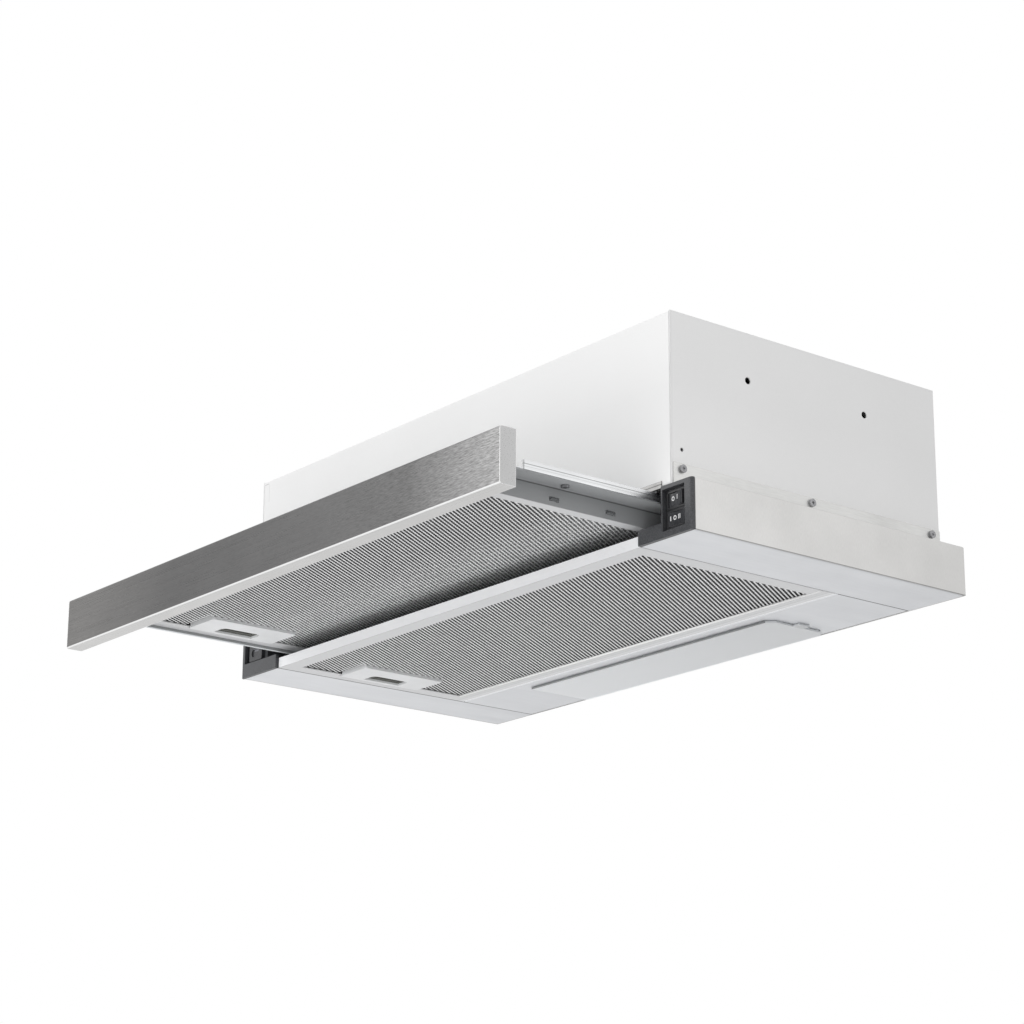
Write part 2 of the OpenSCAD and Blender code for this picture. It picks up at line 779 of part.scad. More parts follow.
// Face of a cap from x outwards, seen from above, its outer front edge rounded
module cap_face(x) {
    square_x = half_w - cap_r;
    translate([x, 0]) square([square_x - x, cap_t]);
    translate([square_x, cap_r]) square([cap_r, cap_t - cap_r]);
    intersection() {
        translate([square_x, cap_r]) circle(r = cap_r, $fn = 32);
        translate([square_x, 0]) square([cap_r, cap_r]);
    }
}

// Box behind a cap's face that holds the switches
module cap_box(x0) {
    x = [x0, inside_x - sheet_t - seam];
    z = [sheet_t + seam, inside_z - seam];
    difference() {
        block(x, [cap_t, cap_d], z);
        block([x[0] + cap_wall, x[1] - cap_wall], [cap_t, cap_d + over], [z[0] + cap_wall, z[1] - cap_wall]);
    }
}

module switch_cap_right() {
    px = passage_x;
    color("dimgray") from_front() difference() {
        union() {
            difference() {
                along_z([0, cap_h]) cap_face(open_x);
                block([open_x - over, px], [-over, cap_t + over], [sill_h, cap_h + over]);
            }
            cap_box(px);
            block(
                [recess_x0 - seam, recess_x1 + cap_wall],
                [0, recess_d + cap_wall],
                [recess_z - cap_wall, recess_z + recess_h + seam]
            );
        }
        block([recess_x0, recess_x1], [-over, recess_d], [recess_z, recess_z + recess_h]);
        for (z = [light_switch_z, fan_switch_z]) block(
            [recess_mid - switch_w / 2 + seam, recess_mid + switch_w / 2 - seam],
            [0, recess_d + cap_wall + over],
            [z - switch_h / 2 + seam, z + switch_h / 2 - seam]
        );
    }
}

module switch_cap_left() {
    px = passage_x;
    x1 = half_w - left_edge;
    top = recess_z + recess_h;
    color("dimgray") from_front() on_side(-1) difference() {
        union() {
            along_z([0, cap_h]) cap_face(open_left);
            cap_box(px);
            block([px, x1], [0, recess_d + cap_wall], [sill_h, top]);
        }
        block([open_left - over, px], [-over, cap_t + over], [sill_h, cap_h + over]);
        block([px - over, x1], [-over, recess_d], [sill_h, top]);
    }
}

// Rocker switch: a bezel on the recess floor with a hollow body behind it
module rocker_switch(z) {
    hw = rocker_slot_w / 2;
    hh = rocker_h / 2 + rocker_gap;
    body_w = switch_w / 2 - 2 * seam;
    body_h = switch_h / 2 - 2 * seam;
    pin_h = hh + rocker_pin_bite + seam / 2;
    floor_y = recess_d + switch_d;
    translate([recess_mid, 0, z]) difference() {
        union() {
            block(
                [-switch_w / 2, switch_w / 2],
                [recess_d - bezel_t, recess_d],
                [-switch_h / 2, switch_h / 2]
            );
            block([-body_w, body_w], [recess_d, floor_y], [-body_h, body_h]);
        }
        block([-hw, hw], [recess_d - bezel_t - over, floor_y - cap_wall], [-hh, hh]);
        rod_z(0, rocker_y, [-pin_h, pin_h], rocker_pin_r + pin_play);
    }
}

module light_switch() {
    color("black") from_front() rocker_switch(light_switch_z);
}

module fan_switch() {
    color("black") from_front() rocker_switch(fan_switch_z);
}

// Rocker with a dished face, turned by tilt about its upright pivot
module rocker(z, tilt) {
    w = rocker_w / 2;
    foot = w * rocker_foot_share;
    back = rocker_d * rocker_back_share;
    dip = rocker_dish * rocker_curve_share - rocker_d;
    pin_h = rocker_h / 2 + rocker_gap + rocker_pin_bite;
    translate([recess_mid, rocker_y, z]) rotate([0, 0, tilt]) {
        along_z([-rocker_h / 2, rocker_h / 2]) polygon([
            [-w, -rocker_d], [-w / 2, dip], [0, rocker_dish - rocker_d], [w / 2, dip], [w, -rocker_d],
            [w, -rocker_d / 2], [foot, back], [-foot, back], [-w, -rocker_d / 2]
        ]);
        rod_z(0, 0, [-pin_h, pin_h], rocker_pin_r);
    }
}

module light_rocker() {
    color("darkslategray") from_front() rocker(light_switch_z, -rocker_tilt);
}

module fan_rocker() {
    color("darkslategray") from_front() rocker(fan_switch_z, 0);
}

module blank_insert() {
    mid = half_w - blank_edge;
    x = [mid - blank_w / 2, mid + blank_w / 2];
    z = sill_h + blank_rise;
    y = recess_d - blank_t;
    margin = blank_h * dimple_shares[1];
    color("dimgray") from_front() on_side(-1) difference() {
        along_y([y, recess_d]) round_rect(x, [z, z + blank_h], cap_wall);
        along_y([y - over, y + blank_t * dimple_shares[0]]) round_rect(
            [x[0] + margin, x[1] - margin], [z + margin, z + blank_h - margin], blank_h * dimple_shares[2]
        );
    }
}

// Slides

// Cabinet member, an upturned channel under the deck
module slide_rail(s) {
    z0 = flange_top + slide_t + 2 * cage_gap + cage_t;
    path = [[rail_x, z0], [rail_x, inside_z], [-rail_x, inside_z], [-rail_x, z0]];
    y = [slide_fixed_front, slide_fixed_front + slide_fixed_l];
    color("gainsboro") from_front() on_side(s) translate([slide_mid, 0, 0]) along_y(y)
        polygon(strip(path, slide_t));
}

module slide_rail_right() {
    slide_rail(1);
}

module slide_rail_left() {
    slide_rail(-1);
}

// Drawer member, a channel with lips that lies on the drawer wall's flange
module slide_runner(s) {
    w = slide_w / 2;
    top = flange_top + slide_h;
    path = [
        [slide_lip - w, top], [-w, top], [-w, flange_top], [w, flange_top], [w, top], [w - slide_lip, top]
    ];
    hole_z = [flange_top - over, flange_top + slide_t + over];
    color("white") from_front() on_side(s) difference() {
        translate([slide_mid, 0, 0]) along_y([runner_y0, runner_y1]) polygon(strip(path, slide_t));
        for (y = flange_screw_ys) rod_z(wall_x + flange_screw_inset, y, hole_z, screw_r + screw_play);
    }
}

module slide_runner_right() {
    slide_runner(1);
}

module slide_runner_left() {
    slide_runner(-1);
}

// Cage with two rows of balls that rolls at half the drawer's pace
module ball_cage(s) {
    z0 = flange_top + slide_t + cage_gap;
    z1 = ball_z + ball_r + cage_gap;
    h = cage_t / 2;
    path = [[-ball_x - h, z1], [-ball_x - h, z0], [ball_x + h, z0], [ball_x + h, z1]];
    ys = [for (i = [0:ball_count - 1]) cage_mid + (i + 0.5 - ball_count / 2) * ball_pitch];
    from_front() on_side(s) translate([slide_mid, 0, 0]) {
        color("khaki") difference() {
            along_y([cage_mid - cage_l / 2, cage_mid + cage_l / 2]) polygon(strip(path, cage_t));
            for (y = ys) rod_x([-slide_w, slide_w], y, ball_z, ball_r + pin_play);
        }
        color("silver") for (y = ys, x = [-ball_x, ball_x]) translate([x, y, ball_z])
            sphere(r = ball_r, $fn = 24);
    }
}

module ball_cage_right() {
    ball_cage(1);
}

module ball_cage_left() {
    ball_cage(-1);
}

// Drawer

// Front panel folded as a shallow tray, open towards the hood
module drawer_panel() {
    path = [
        [panel_back, panel_z1], [panel_front, panel_z1], [panel_front, panel_z0], [panel_back, panel_z0]
    ];
    color("darkgray") from_front() {
        along_x([-panel_x, panel_x]) bent_sheet(path);
        for (s = [1, -1]) on_side(s) block(
            [panel_x - sheet_t, panel_x],
            [panel_front + sheet_t / 2, panel_back],
            [panel_z0 + sheet_t / 2, panel_z1 - sheet_t / 2]
        );
    }
}

module drawer_panel_backing() {
    x = panel_x - sheet_t - seam;
    z = [panel_z0 + sheet_t + seam, panel_z1 - sheet_t - seam];
    color("lightgray") from_front() difference() {
        block([-x, x], [panel_back - lap_w / 2, panel_back], z);
        block(
            [-x + sheet_t, x - sheet_t],
            [panel_back - lap_w / 2 - over, panel_back - sheet_t],
            [z[0] + sheet_t, z[1] - sheet_t]
        );
    }
}

// Drawer wall with its slide flange and the slots for the filter's tongues or bolts
module drawer_wall(s) {
    path = [[wall_x + wall_flange, flange_top], [wall_x, flange_top], [wall_x, wall_z]];
    slot_z = drawer_filter_z + tongue_z + latch_t / 2 - slot_h / 2;
    x = [wall_x - over, wall_x + sheet_t + over];
    hole_z = [flange_top - sheet_t - over, flange_top + over];
    bend_z = flange_top - bend_r;
    color("slategray") from_front() on_side(s) difference() {
        along_y([panel_back, runner_y1]) bent_sheet(path);
        block([x[0], wall_x + sheet_t], [drawer_rear, runner_y1 + over], [wall_z - over, bend_z]);
        for (y = tongue_ys) translate([0, drawer_filter_y + y, slot_z])
            block(x, [-slot_w / 2, slot_w / 2], [0, slot_h]);
        for (y = flange_screw_ys) rod_z(wall_x + flange_screw_inset, y, hole_z, screw_r + screw_play);
    }
}

module drawer_wall_right() {
    drawer_wall(1);
}

module drawer_wall_left() {
    drawer_wall(-1);
}

module drawer_front_beam() {
    path = [[panel_back + beam_ledge, flange_top], [panel_back, flange_top], [panel_back, wall_z]];
    color("slategray") from_front() along_x([-beam_x, beam_x]) bent_sheet(path);
}

module drawer_rear_beam() {
    path = [[drawer_rear, wall_z], [drawer_rear, flange_top], [drawer_rear - beam_ledge, flange_top]];
    color("slategray") from_front() along_x([-beam_x, beam_x]) bent_sheet(path);
}

module drawer_screws() {
    l = sheet_t + slide_t;
    color("gray") from_front() for (s = [1, -1], y = flange_screw_ys) on_side(s)
        translate([wall_x + flange_screw_inset, y, flange_top - sheet_t]) screw(l);
}

module drawer_glass() {
    x = slide_x0 - seam;
    color("azure", 0.4) from_front()
        block([-x, x], [panel_back + seam, drawer_rear], [flange_top, flange_top + glass_t]);
}

// Filters, drawn with the middle of their lower front edge at the origin

module at_drawer_filter() {
    translate([drawer_filter_mid, drawer_filter_y, drawer_filter_z]) children();
}

module at_filter() {
    translate([filter_mid, filter_front, 0]) children();
}

// Channel frame with tongues on the right and bolt slots on the left
module filter_frame_part() {
    x = filter_x;
    t = frame_t;
    color("silver") difference() {
        union() {
            block([-x, x], [0, filter_d], [0, filter_t]);
            for (y = tongue_ys) block(
                [x - t, x + tongue_reach],
                [y - tongue_w / 2, y + tongue_w / 2],
                [tongue_z, tongue_z + latch_t]
            );
        }
        block([t - x, x - t], [t, filter_d - t], [t, filter_t - t]);
        block([frame_w - x, x - frame_w], [frame_w, filter_d - frame_w], [-over, filter_t + over]);
        block(
            [handle_x0 - seam, frame_w - x + over],
            [handle_y0 - seam, handle_y1 + seam],
            [-over, t + over]
        );
        for (y = tongue_ys) translate([0, y, tongue_z]) block(
            [-x - over, t - x + over],
            [-tongue_w / 2 - seam, tongue_w / 2 + seam],
            [-seam, latch_t + seam]
        );
    }
}

// Sheet of expanded metal: an outline with diamonds cut through it in staggered rows
function diamond(c, a, b) = [c + [a, 0], c + [0, b], c - [a, 0], c - [0, b]];

module mesh_sheet(notched) {
    s = [filter_x - frame_t - mesh_play, filter_d - 2 * (frame_t + mesh_play)];
    y0 = frame_t + mesh_play;
    n = [handle_x1 + seam, handle_y0 - seam, handle_y1 + seam];
    a = (mesh_pitch_x - mesh_strand) / 2;
    b = (mesh_pitch_y - mesh_strand * mesh_pitch_y / mesh_pitch_x) / 2;
    window = [filter_x - frame_w, filter_d / 2 - frame_w];
    nx = floor(2 * window[0] / mesh_pitch_x);
    ny = floor(2 * window[1] / mesh_pitch_y);
    mid = filter_d / 2;
    cells = [
        for (j = [-ny:ny], i = [-nx:nx])
            let (c = [i * mesh_pitch_x / 2, mid + j * mesh_pitch_y / 2])
            let (past = c[0] - a - mesh_strand > n[0])
            let (above = c[1] - b - mesh_strand > n[2], below = c[1] + b + mesh_strand < n[1])
            let (inside = abs(c[0]) + a < window[0] && abs(c[1] - mid) + b < window[1])
            if ((i + j) % 2 == 0 && inside && (past || above || below || !notched)) diamond(c, a, b)
    ];
    plain = [[-s[0], y0], [s[0], y0], [s[0], y0 + s[1]], [-s[0], y0 + s[1]]];
    notch = [[-s[0], n[2]], [n[0], n[2]], [n[0], n[1]], [-s[0], n[1]]];
    outline = notched ? concat(plain, notch) : plain;
    k = len(outline);
    polygon(
        concat(outline, [for (c = cells) each c]),
        concat([[for (i = [0:k - 1]) i]], [for (i = [0:len(cells) - 1]) [for (m = [0:3]) k + 4 * i + m]])
    );
}

module filter_mesh_part() {
    z = frame_t + mesh_play;
    color("lightsteelblue") {
        along_z([z, z + mesh_t]) mesh_sheet(true);
        along_z([filter_t - z - mesh_t, filter_t - z]) mesh_sheet(false);
    }
}

// Handle: a plate with a finger recess and inner walls that guide the latch
module filter_handle_part() {
    top = tongue_z - seam;
    color("whitesmoke") {
        difference() {
            along_z([-handle_drop, top])
                round_rect([handle_x0, handle_x1], [handle_y0, handle_y1], handle_r);
            along_z([-handle_drop - over, top + over]) finger_outline();
        }
        difference() {
            block([handle_x0 + handle_r, handle_x1], [handle_y0, handle_y1], [top - frame_t, handle_wall_h]);
            block(
                [handle_x0, handle_x1 - handle_t], [handle_y0 + handle_t, handle_y1 - handle_t],
                [top - frame_t - over, handle_wall_h + over]
            );
        }
    }
}

module finger_outline() {
    x0 = handle_x0 + finger_inset;
    y0 = handle_mid - finger_l / 2;
    translate([x0, y0]) square([finger_w - finger_r, finger_l]);
    translate([x0, y0 + finger_r]) square([finger_w, finger_l - 2 * finger_r]);
    for (y = [y0 + finger_r, y0 + finger_l - finger_r])
        translate([x0 + finger_w - finger_r, y]) circle(r = finger_r, $fn = 32);
}

// Latch: a plate above the finger recess with two bolts and a finger rib
module filter_latch_part() {
    z = [tongue_z, tongue_z + latch_t];
    x = [frame_t - filter_x + 2 * seam, handle_x1 - handle_t - latch_travel - seam];
    y = [handle_y0 + handle_t + seam, handle_y1 - handle_t - seam];
    rib = handle_x0 + finger_inset + finger_w - latch_travel - latch_t - seam;
    color("gray") {
        block([x[0], x[1]], y, z);
        for (v = tongue_ys) block(
            [-filter_x - bolt_reach, x[0]], [v - tongue_w / 2, v + tongue_w / 2], z
        );
        block([handle_x0 + handle_r + latch_travel, x[1]], [y[0], y[0] + handle_t], [z[0], handle_wall_h]);
        block([handle_x0 + handle_r + latch_travel, x[1]], [y[1] - handle_t, y[1]], [z[0], handle_wall_h]);
        block(
            [rib, rib + latch_t],
            [handle_mid - finger_l / 2 + finger_r, handle_mid + finger_l / 2 - finger_r],
            [0, z[1]]
        );
    }
}

module drawer_filter_frame() {
    from_front() at_drawer_filter() filter_frame_part();
}

module drawer_filter_mesh() {
    from_front() at_drawer_filter() filter_mesh_part();
}

module drawer_filter_handle() {
    from_front() at_drawer_filter() filter_handle_part();
}

module drawer_filter_latch() {
    from_front() at_drawer_filter() filter_latch_part();
}

module filter_frame() {
    from_front() at_filter() filter_frame_part();
}

module filter_mesh() {
    from_front() at_filter() filter_mesh_part();
}

module filter_handle() {
    from_front() at_filter() filter_handle_part();
}

module filter_latch() {
    from_front() at_filter() filter_latch_part();
}

// Blower

// Snail outline of the scroll in Y and Z, from the throat's front wall round to its rear wall
function spiral_r(q) = scroll_r0 + (scroll_r1 - scroll_r0) * (q - scroll_start) / (360 - scroll_start);
function scroll_path(top) =
    let (c = [fan_y, fan_z], y0 = scroll_r0 * cos(scroll_start))
    concat(
        [[fan_y + scroll_r1, top]],
        [
            for (k = [spiral_steps:-1:0])
                let (q = scroll_start + (360 - scroll_start) * k / spiral_steps)
                c + spiral_r(q) * [cos(q), sin(q)]
        ],
        [[fan_y + y0, top]]
    );

module blower_scroll() {
    top = ceiling_z;
    w = scroll_w / 2;
    path = scroll_path(top);
    color("darkslateblue") from_front() difference() {
        union() {
            along_x([-w, w]) polygon(strip(path, scroll_t));
            for (x = [-w - scroll_t, w]) along_x([x, x + scroll_t]) polygon([
                for (i = [len(path) - 1:-1:0]) beside(path, i, scroll_t)
            ]);
        }
        rod_x([-w - scroll_t - over, w + scroll_t + over], fan_y, fan_z, inlet_r);
    }
}

// Double inlet impeller: curved blades between two rings and a middle disc
module impeller() {
    w = impeller_w / 2;
    r = [impeller_r - blade_d, impeller_r];
    disc_x = -2 * impeller_t;
    color("dimgray") from_front() translate([0, fan_y, fan_z]) {
        for (x = [-w, w - impeller_t]) difference() {
            rod_x([x, x + impeller_t], 0, 0, r[1]);
            rod_x([x - over, x + impeller_t + over], 0, 0, r[0] + blade_t);
        }
        difference() {
            union() {
                rod_x([disc_x - impeller_t, disc_x], 0, 0, r[1]);
                rod_x([disc_x - hub_r, disc_x], 0, 0, hub_r);
            }
            rod_x([disc_x - hub_r - over, disc_x + over], 0, 0, shaft_r);
        }
        for (i = [0:blade_count - 1]) rotate([i * 360 / blade_count, 0, 0])
            along_x([-w, w]) polygon(strip(blade_path(r), blade_t));
    }
}

function blade_path(r) = [
    for (k = [0:blade_steps])
        let (v = k / blade_steps, q = blade_lean * v * v, m = r[0] + blade_t / 2 + (blade_d - blade_t) * v)
        m * [cos(q), sin(q)]
];

module motor_shaft() {
    x = -2 * impeller_t;
    color("silver") from_front() rod_x([x - hub_r - impeller_t, shaft_in], fan_y, fan_z, shaft_r);
}

module blower_motor() {
    x0 = seam;
    bell_l = motor_l * bell_l_share;
    color("gray") from_front() difference() {
        union() {
            rod_x([x0, x0 + motor_l], fan_y, fan_z, motor_r * bell_r_share);
            rod_x([x0 + bell_l, x0 + motor_l - bell_l], fan_y, fan_z, motor_r);
        }
        rod_x([x0 - over, shaft_in + over], fan_y, fan_z, shaft_r + pin_play);
    }
}

// Spider with three arms that carries the motor on the scroll's right inlet
module motor_holder() {
    x = [scroll_w / 2 + scroll_t, scroll_w / 2 + 2 * scroll_t];
    ring = [inlet_r, inlet_r + arm_w / 2];
    hole = motor_r * bell_r_share + pin_play;
    color("darkgray") from_front() translate([0, fan_y, fan_z]) {
        difference() {
            rod_x(x, 0, 0, ring[1]);
            rod_x([x[0] - over, x[1] + over], 0, 0, ring[0]);
        }
        difference() {
            union() {
                rod_x(x, 0, 0, hole + arm_w / 3);
                for (q = [90, 210, 330]) rotate([q, 0, 0])
                    block(x, [hole, ring[0] + arm_w / 4], [-arm_w / 2, arm_w / 2]);
            }
            rod_x([x[0] - over, x[1] + over], 0, 0, hole);
        }
    }
}

module capacitor() {
    z = ceiling_z - capacitor_r;
    y = [fan_y - capacitor_l / 2, fan_y + capacitor_l / 2];
    cap = capacitor_r * capacitor_cap_shares;
    color("silver") from_front() {
        rod_y(-capacitor_x, y, z, capacitor_r);
        rod_y(-capacitor_x, [y[0] - cap[1], y[0]], z, cap[0]);
    }
}

module terminal_box() {
    y = [gland_y - terminal_d / 2, gland_y + terminal_d / 2];
    x = [terminal_x - terminal_l / 2, terminal_x + terminal_l / 2];
    z = ceiling_z - terminal_h;
    t = terminal_t;
    color("white") from_front() difference() {
        block(x, y, [z, ceiling_z]);
        block([x[0] + t, x[1] - t], [y[0] + t, y[1] - t], [z + t, ceiling_z + over]);
    }
}

module cable_gland() {
    z = [housing_top - terminal_h * gland_thread_share, housing_top + gland_h];
    nut_h = gland_h / 2;
    dome = gland_body_r * dome_shares;
    color("black") from_front() difference() {
        union() {
            rod_z(terminal_x, gland_y, [z[0], z[1] - nut_h / 2], gland_r);
            translate([terminal_x, gland_y, housing_top]) cylinder(r = gland_body_r, h = nut_h, $fn = 6);
            translate([terminal_x, gland_y, housing_top + nut_h])
                cylinder(r1 = dome[0], r2 = dome[1], h = gland_h - nut_h, $fn = 48);
        }
        rod_z(terminal_x, gland_y, [z[0] - over, z[1] + over], gland_hole_r);
    }
}

// Outlet

module outlet_collar() {
    r = spigot_r - spigot_t;
    z = [housing_top, housing_top + outlet_flange_t];
    color("dimgray") from_front() translate([0, outlet_y, 0]) difference() {
        union() {
            rod_z(0, 0, z, spigot_r + outlet_flange_w);
            rod_z(0, 0, [z[0], outlet_top], spigot_r);
        }
        rod_z(0, 0, [z[1], outlet_top + over], r);
        rod_z(0, 0, [z[0] - over, z[1] + over], r - flap_ledge);
        for (y = [-flap_pin_pitch / 2, flap_pin_pitch / 2])
            rod_x([-spigot_r - over, spigot_r + over], y, flap_z, flap_pin_r + pin_play);
    }
}

// Half round flap on a pin, closed flat and opening upwards
module flap(s) {
    r = spigot_r - spigot_t - flap_gap;
    y = flap_pin_pitch / 2;
    color("gray") from_front() translate([0, outlet_y, 0]) rotate([0, 0, s > 0 ? 0 : 180]) {
        rod_x([spigot_t / 2 - spigot_r, spigot_r - spigot_t / 2], y, flap_z, flap_pin_r);
        along_z([flap_z - flap_pin_r, flap_z - flap_pin_r + flap_t]) intersection() {
            circle(r = r, $fn = 96);
            translate([-r, y]) square([2 * r, r]);
        }
    }
}

module flap_front() {
    flap(-1);
}

module flap_rear() {
    flap(1);
}

housing_wrap();
housing_side_right();
housing_side_left();
foot_strip_right();
foot_strip_left();
foot_strip_screws();
base_side_right();
base_side_left();
bottom_border_right();
bottom_border_left();
rear_wall();
front_cross_rail();
lamp_panel();
lamp_tray();
led_board();
lamp_cover();
switch_cap_right();
switch_cap_left();
light_switch();
fan_switch();
light_rocker();
fan_rocker();
blank_insert();
slide_rail_right();
slide_rail_left();
ball_cage_right();
ball_cage_left();
slide_runner_right();
slide_runner_left();
drawer_panel();
drawer_panel_backing();
drawer_wall_right();
drawer_wall_left();
drawer_front_beam();
drawer_rear_beam();
drawer_screws();
drawer_glass();
drawer_filter_frame();
drawer_filter_mesh();
drawer_filter_handle();
drawer_filter_latch();
filter_frame();
filter_mesh();
filter_handle();
filter_latch();
blower_scroll();
impeller();
motor_shaft();
blower_motor();
motor_holder();
capacitor();
terminal_box();
cable_gland();
outlet_collar();
flap_front();
flap_rear();
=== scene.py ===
import json
import math

import bpy
from mathutils import Matrix, Vector

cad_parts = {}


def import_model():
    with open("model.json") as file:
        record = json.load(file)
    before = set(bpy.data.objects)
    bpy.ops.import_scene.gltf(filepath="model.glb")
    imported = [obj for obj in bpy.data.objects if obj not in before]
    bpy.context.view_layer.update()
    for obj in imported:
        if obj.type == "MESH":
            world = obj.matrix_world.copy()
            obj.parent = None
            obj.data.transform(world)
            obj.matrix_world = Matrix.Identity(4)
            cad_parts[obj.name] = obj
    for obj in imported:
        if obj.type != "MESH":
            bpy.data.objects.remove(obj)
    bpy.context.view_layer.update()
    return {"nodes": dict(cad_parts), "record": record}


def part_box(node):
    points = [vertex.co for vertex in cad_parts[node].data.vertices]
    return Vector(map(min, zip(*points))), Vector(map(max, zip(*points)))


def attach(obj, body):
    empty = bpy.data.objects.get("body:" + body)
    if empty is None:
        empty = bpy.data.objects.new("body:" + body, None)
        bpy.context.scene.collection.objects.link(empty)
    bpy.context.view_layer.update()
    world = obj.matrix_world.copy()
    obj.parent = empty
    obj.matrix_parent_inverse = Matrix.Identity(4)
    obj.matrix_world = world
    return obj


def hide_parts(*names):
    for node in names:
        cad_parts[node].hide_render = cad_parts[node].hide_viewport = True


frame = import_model()
nodes = frame["nodes"]
slot_colours = {m["slot"]: m["base_color"][:3] for m in frame["record"]["materials"]}
node_slots = {s["node"]: s["material_slot"] for s in frame["record"]["subparts"]}

MM = 0.001
X, Y, Z = 0, 1, 2


def lowest(node):
    """A node's lowest corner in millimetres."""
    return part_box(node)[0] / MM


def highest(node):
    """A node's highest corner in millimetres."""
    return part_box(node)[1] / MM


def sized(node):
    """A node's lowest and highest corners in millimetres."""
    return lowest(node), highest(node)


# Camera at the photograph's viewing angle: place in metres, lens and sensor in millimetres
CAMERA_PLACE = Vector((1.68732, -1.55226, -0.56633))
CAMERA_YAW = math.radians(-51.703)
CAMERA_PITCH = math.radians(17.170)
CAMERA_ROLL = math.radians(-0.304)
CAMERA_LENS = 94.73
CAMERA_SENSOR = 36
CAMERA_NEAR = 0.01
CAMERA_FAR = 50


def camera_axes():
    """Right, down and forward of the camera."""
    forward = Vector((
        math.sin(CAMERA_YAW) * math.cos(CAMERA_PITCH),
        math.cos(CAMERA_YAW) * math.cos(CAMERA_PITCH),
        math.sin(CAMERA_PITCH),
    ))
    level = forward.cross(Vector((0, 0, 1))).normalized()
    down = forward.cross(level)
    c, s = math.cos(CAMERA_ROLL), math.sin(CAMERA_ROLL)
    return c * level + s * down, c * down - s * level, forward


def make_camera():
    right, down, forward = camera_axes()
    data = bpy.data.cameras.new("camera")
    data.lens = CAMERA_LENS
    data.sensor_width = CAMERA_SENSOR
    data.clip_start = CAMERA_NEAR
    data.clip_end = CAMERA_FAR
    turn = Matrix((right, -down, -forward)).transposed().to_4x4()
    camera = bpy.data.objects.new("camera", data)
    camera.matrix_world = Matrix.Translation(CAMERA_PLACE) @ turn
    bpy.context.scene.collection.objects.link(camera)
    bpy.context.scene.camera = camera


make_camera()


# Colours that differ from the slot's own, linear
# Painted highlight colour for the edges of the dark plastic parts
EDGE_HIGHLIGHT_GREY = (0.3, 0.3, 0.31)
# Painted highlight colour along the housing's rounded folds
FOLD_HIGHLIGHT_WHITE = (0.95, 0.95, 0.95)
SCREW_GREY = (0.32, 0.32, 0.33)
BASE_PALE = (0.65, 0.645, 0.635)
BORDER_PALE = (0.71, 0.72, 0.74)
# Painted reflections of the drawer front at its left end, middle and right end, painted light on
# its other faces and underside, and its painted edge highlight
FRONT_LEFT_REFLECTION = (0.182, 0.178, 0.174)
FRONT_MIDDLE_REFLECTION = (0.109, 0.108, 0.108)
FRONT_RIGHT_REFLECTION = (0.235, 0.234, 0.233)
FRONT_SIDES_LIT = (0.515, 0.515, 0.515)
FRONT_UNDER_LIT = (0.6, 0.597, 0.59)
FRONT_EDGE_HIGHLIGHT = (0.9, 0.9, 0.9)
WALL_GREY = (0.31, 0.318, 0.325)
# Painted shade on the filter frame's tongues
TONGUE_SHADE_GREY = (0.12, 0.125, 0.13)
FRAME_PALE = (0.65, 0.655, 0.665)
# Painted shade of the sheet between the mesh layers
SHADE_GREY = (0.068, 0.068, 0.071)
# Painted shade on the mesh strands that turn away from the front
MESH_TURNED_SHADE = (0.11, 0.11, 0.114)
MESH_PALE = (0.96, 0.965, 0.97)
# White of the rockers' printed marks, and of the painted glints on the drawer filter's core
MARK_AND_GLINT_WHITE = (0.88, 0.88, 0.88)
# Painted highlight of the rolled window bead
BEAD_HIGHLIGHT_WHITE = (0.97, 0.97, 0.97)
# Painted light on the drawer filter's core towards its rear
GLINT_GREY = (0.3, 0.303, 0.312)
OLIVE = (0.15, 0.152, 0.135)
CAP_GREY = (0.06, 0.062, 0.067)
BLANK_GREY = (0.035, 0.036, 0.04)

# Most values of a noise lie between these, and an offset moves it by these shares along X, Y and Z
NOISE_LOW = 0.3
NOISE_HIGH = 0.7
NOISE_SHIFT = (1.0, 1.7, 2.3)

# Zones of the surface's direction, for the faces that look to the front and down
FACES_FRONT = {Y: (-2, -0.7)}
FACES_DOWN = {Z: (-2, -0.7)}
FACING_SOFT = 0.05

# Samples of the Bevel nodes, for rounded edges in a bump and for an edge mask
BEVEL_SAMPLES = 6
EDGE_SAMPLES = 8


# Spans along an axis in millimetres, from which zones are made
SPAN_PAST = 1


def around(middle, half):
    """A span of a half width to both sides of a middle."""
    return middle - half, middle + half


def after(edge, depth):
    """A span from just before an edge to a depth behind it."""
    return edge - SPAN_PAST, edge + depth


def before(edge, depth):
    """A span from a depth before an edge to just past it."""
    return edge - depth, edge + SPAN_PAST


# Small helpers for node trees
def shaded(name):
    """A new material with a Principled shader: (material, tree, shader)."""
    material = bpy.data.materials.new(name)
    material.use_nodes = True
    tree = material.node_tree
    tree.nodes.clear()
    shader = tree.nodes.new("ShaderNodeBsdfPrincipled")
    out = tree.nodes.new("ShaderNodeOutputMaterial")
    tree.links.new(shader.outputs["BSDF"], out.inputs["Surface"])
    return material, tree, shader


def noise(tree, sizes, detail=3.0, offset=0.0):
    """Noise in the row frame, whose grains measure sizes in millimetres along X, Y and Z."""
    place = tree.nodes.new("ShaderNodeTexCoord")
    mapping = tree.nodes.new("ShaderNodeMapping")
    mapping.inputs["Scale"].default_value = [1 / (MM * size) for size in sizes]
    mapping.inputs["Location"].default_value = [offset * shift for shift in NOISE_SHIFT]
    texture = tree.nodes.new("ShaderNodeTexNoise")
    texture.inputs["Scale"].default_value = 1.0
    texture.inputs["Detail"].default_value = detail
    tree.links.new(place.outputs["Object"], mapping.inputs["Vector"])
    tree.links.new(mapping.outputs["Vector"], texture.inputs["Vector"])
    return texture.outputs["Fac"]


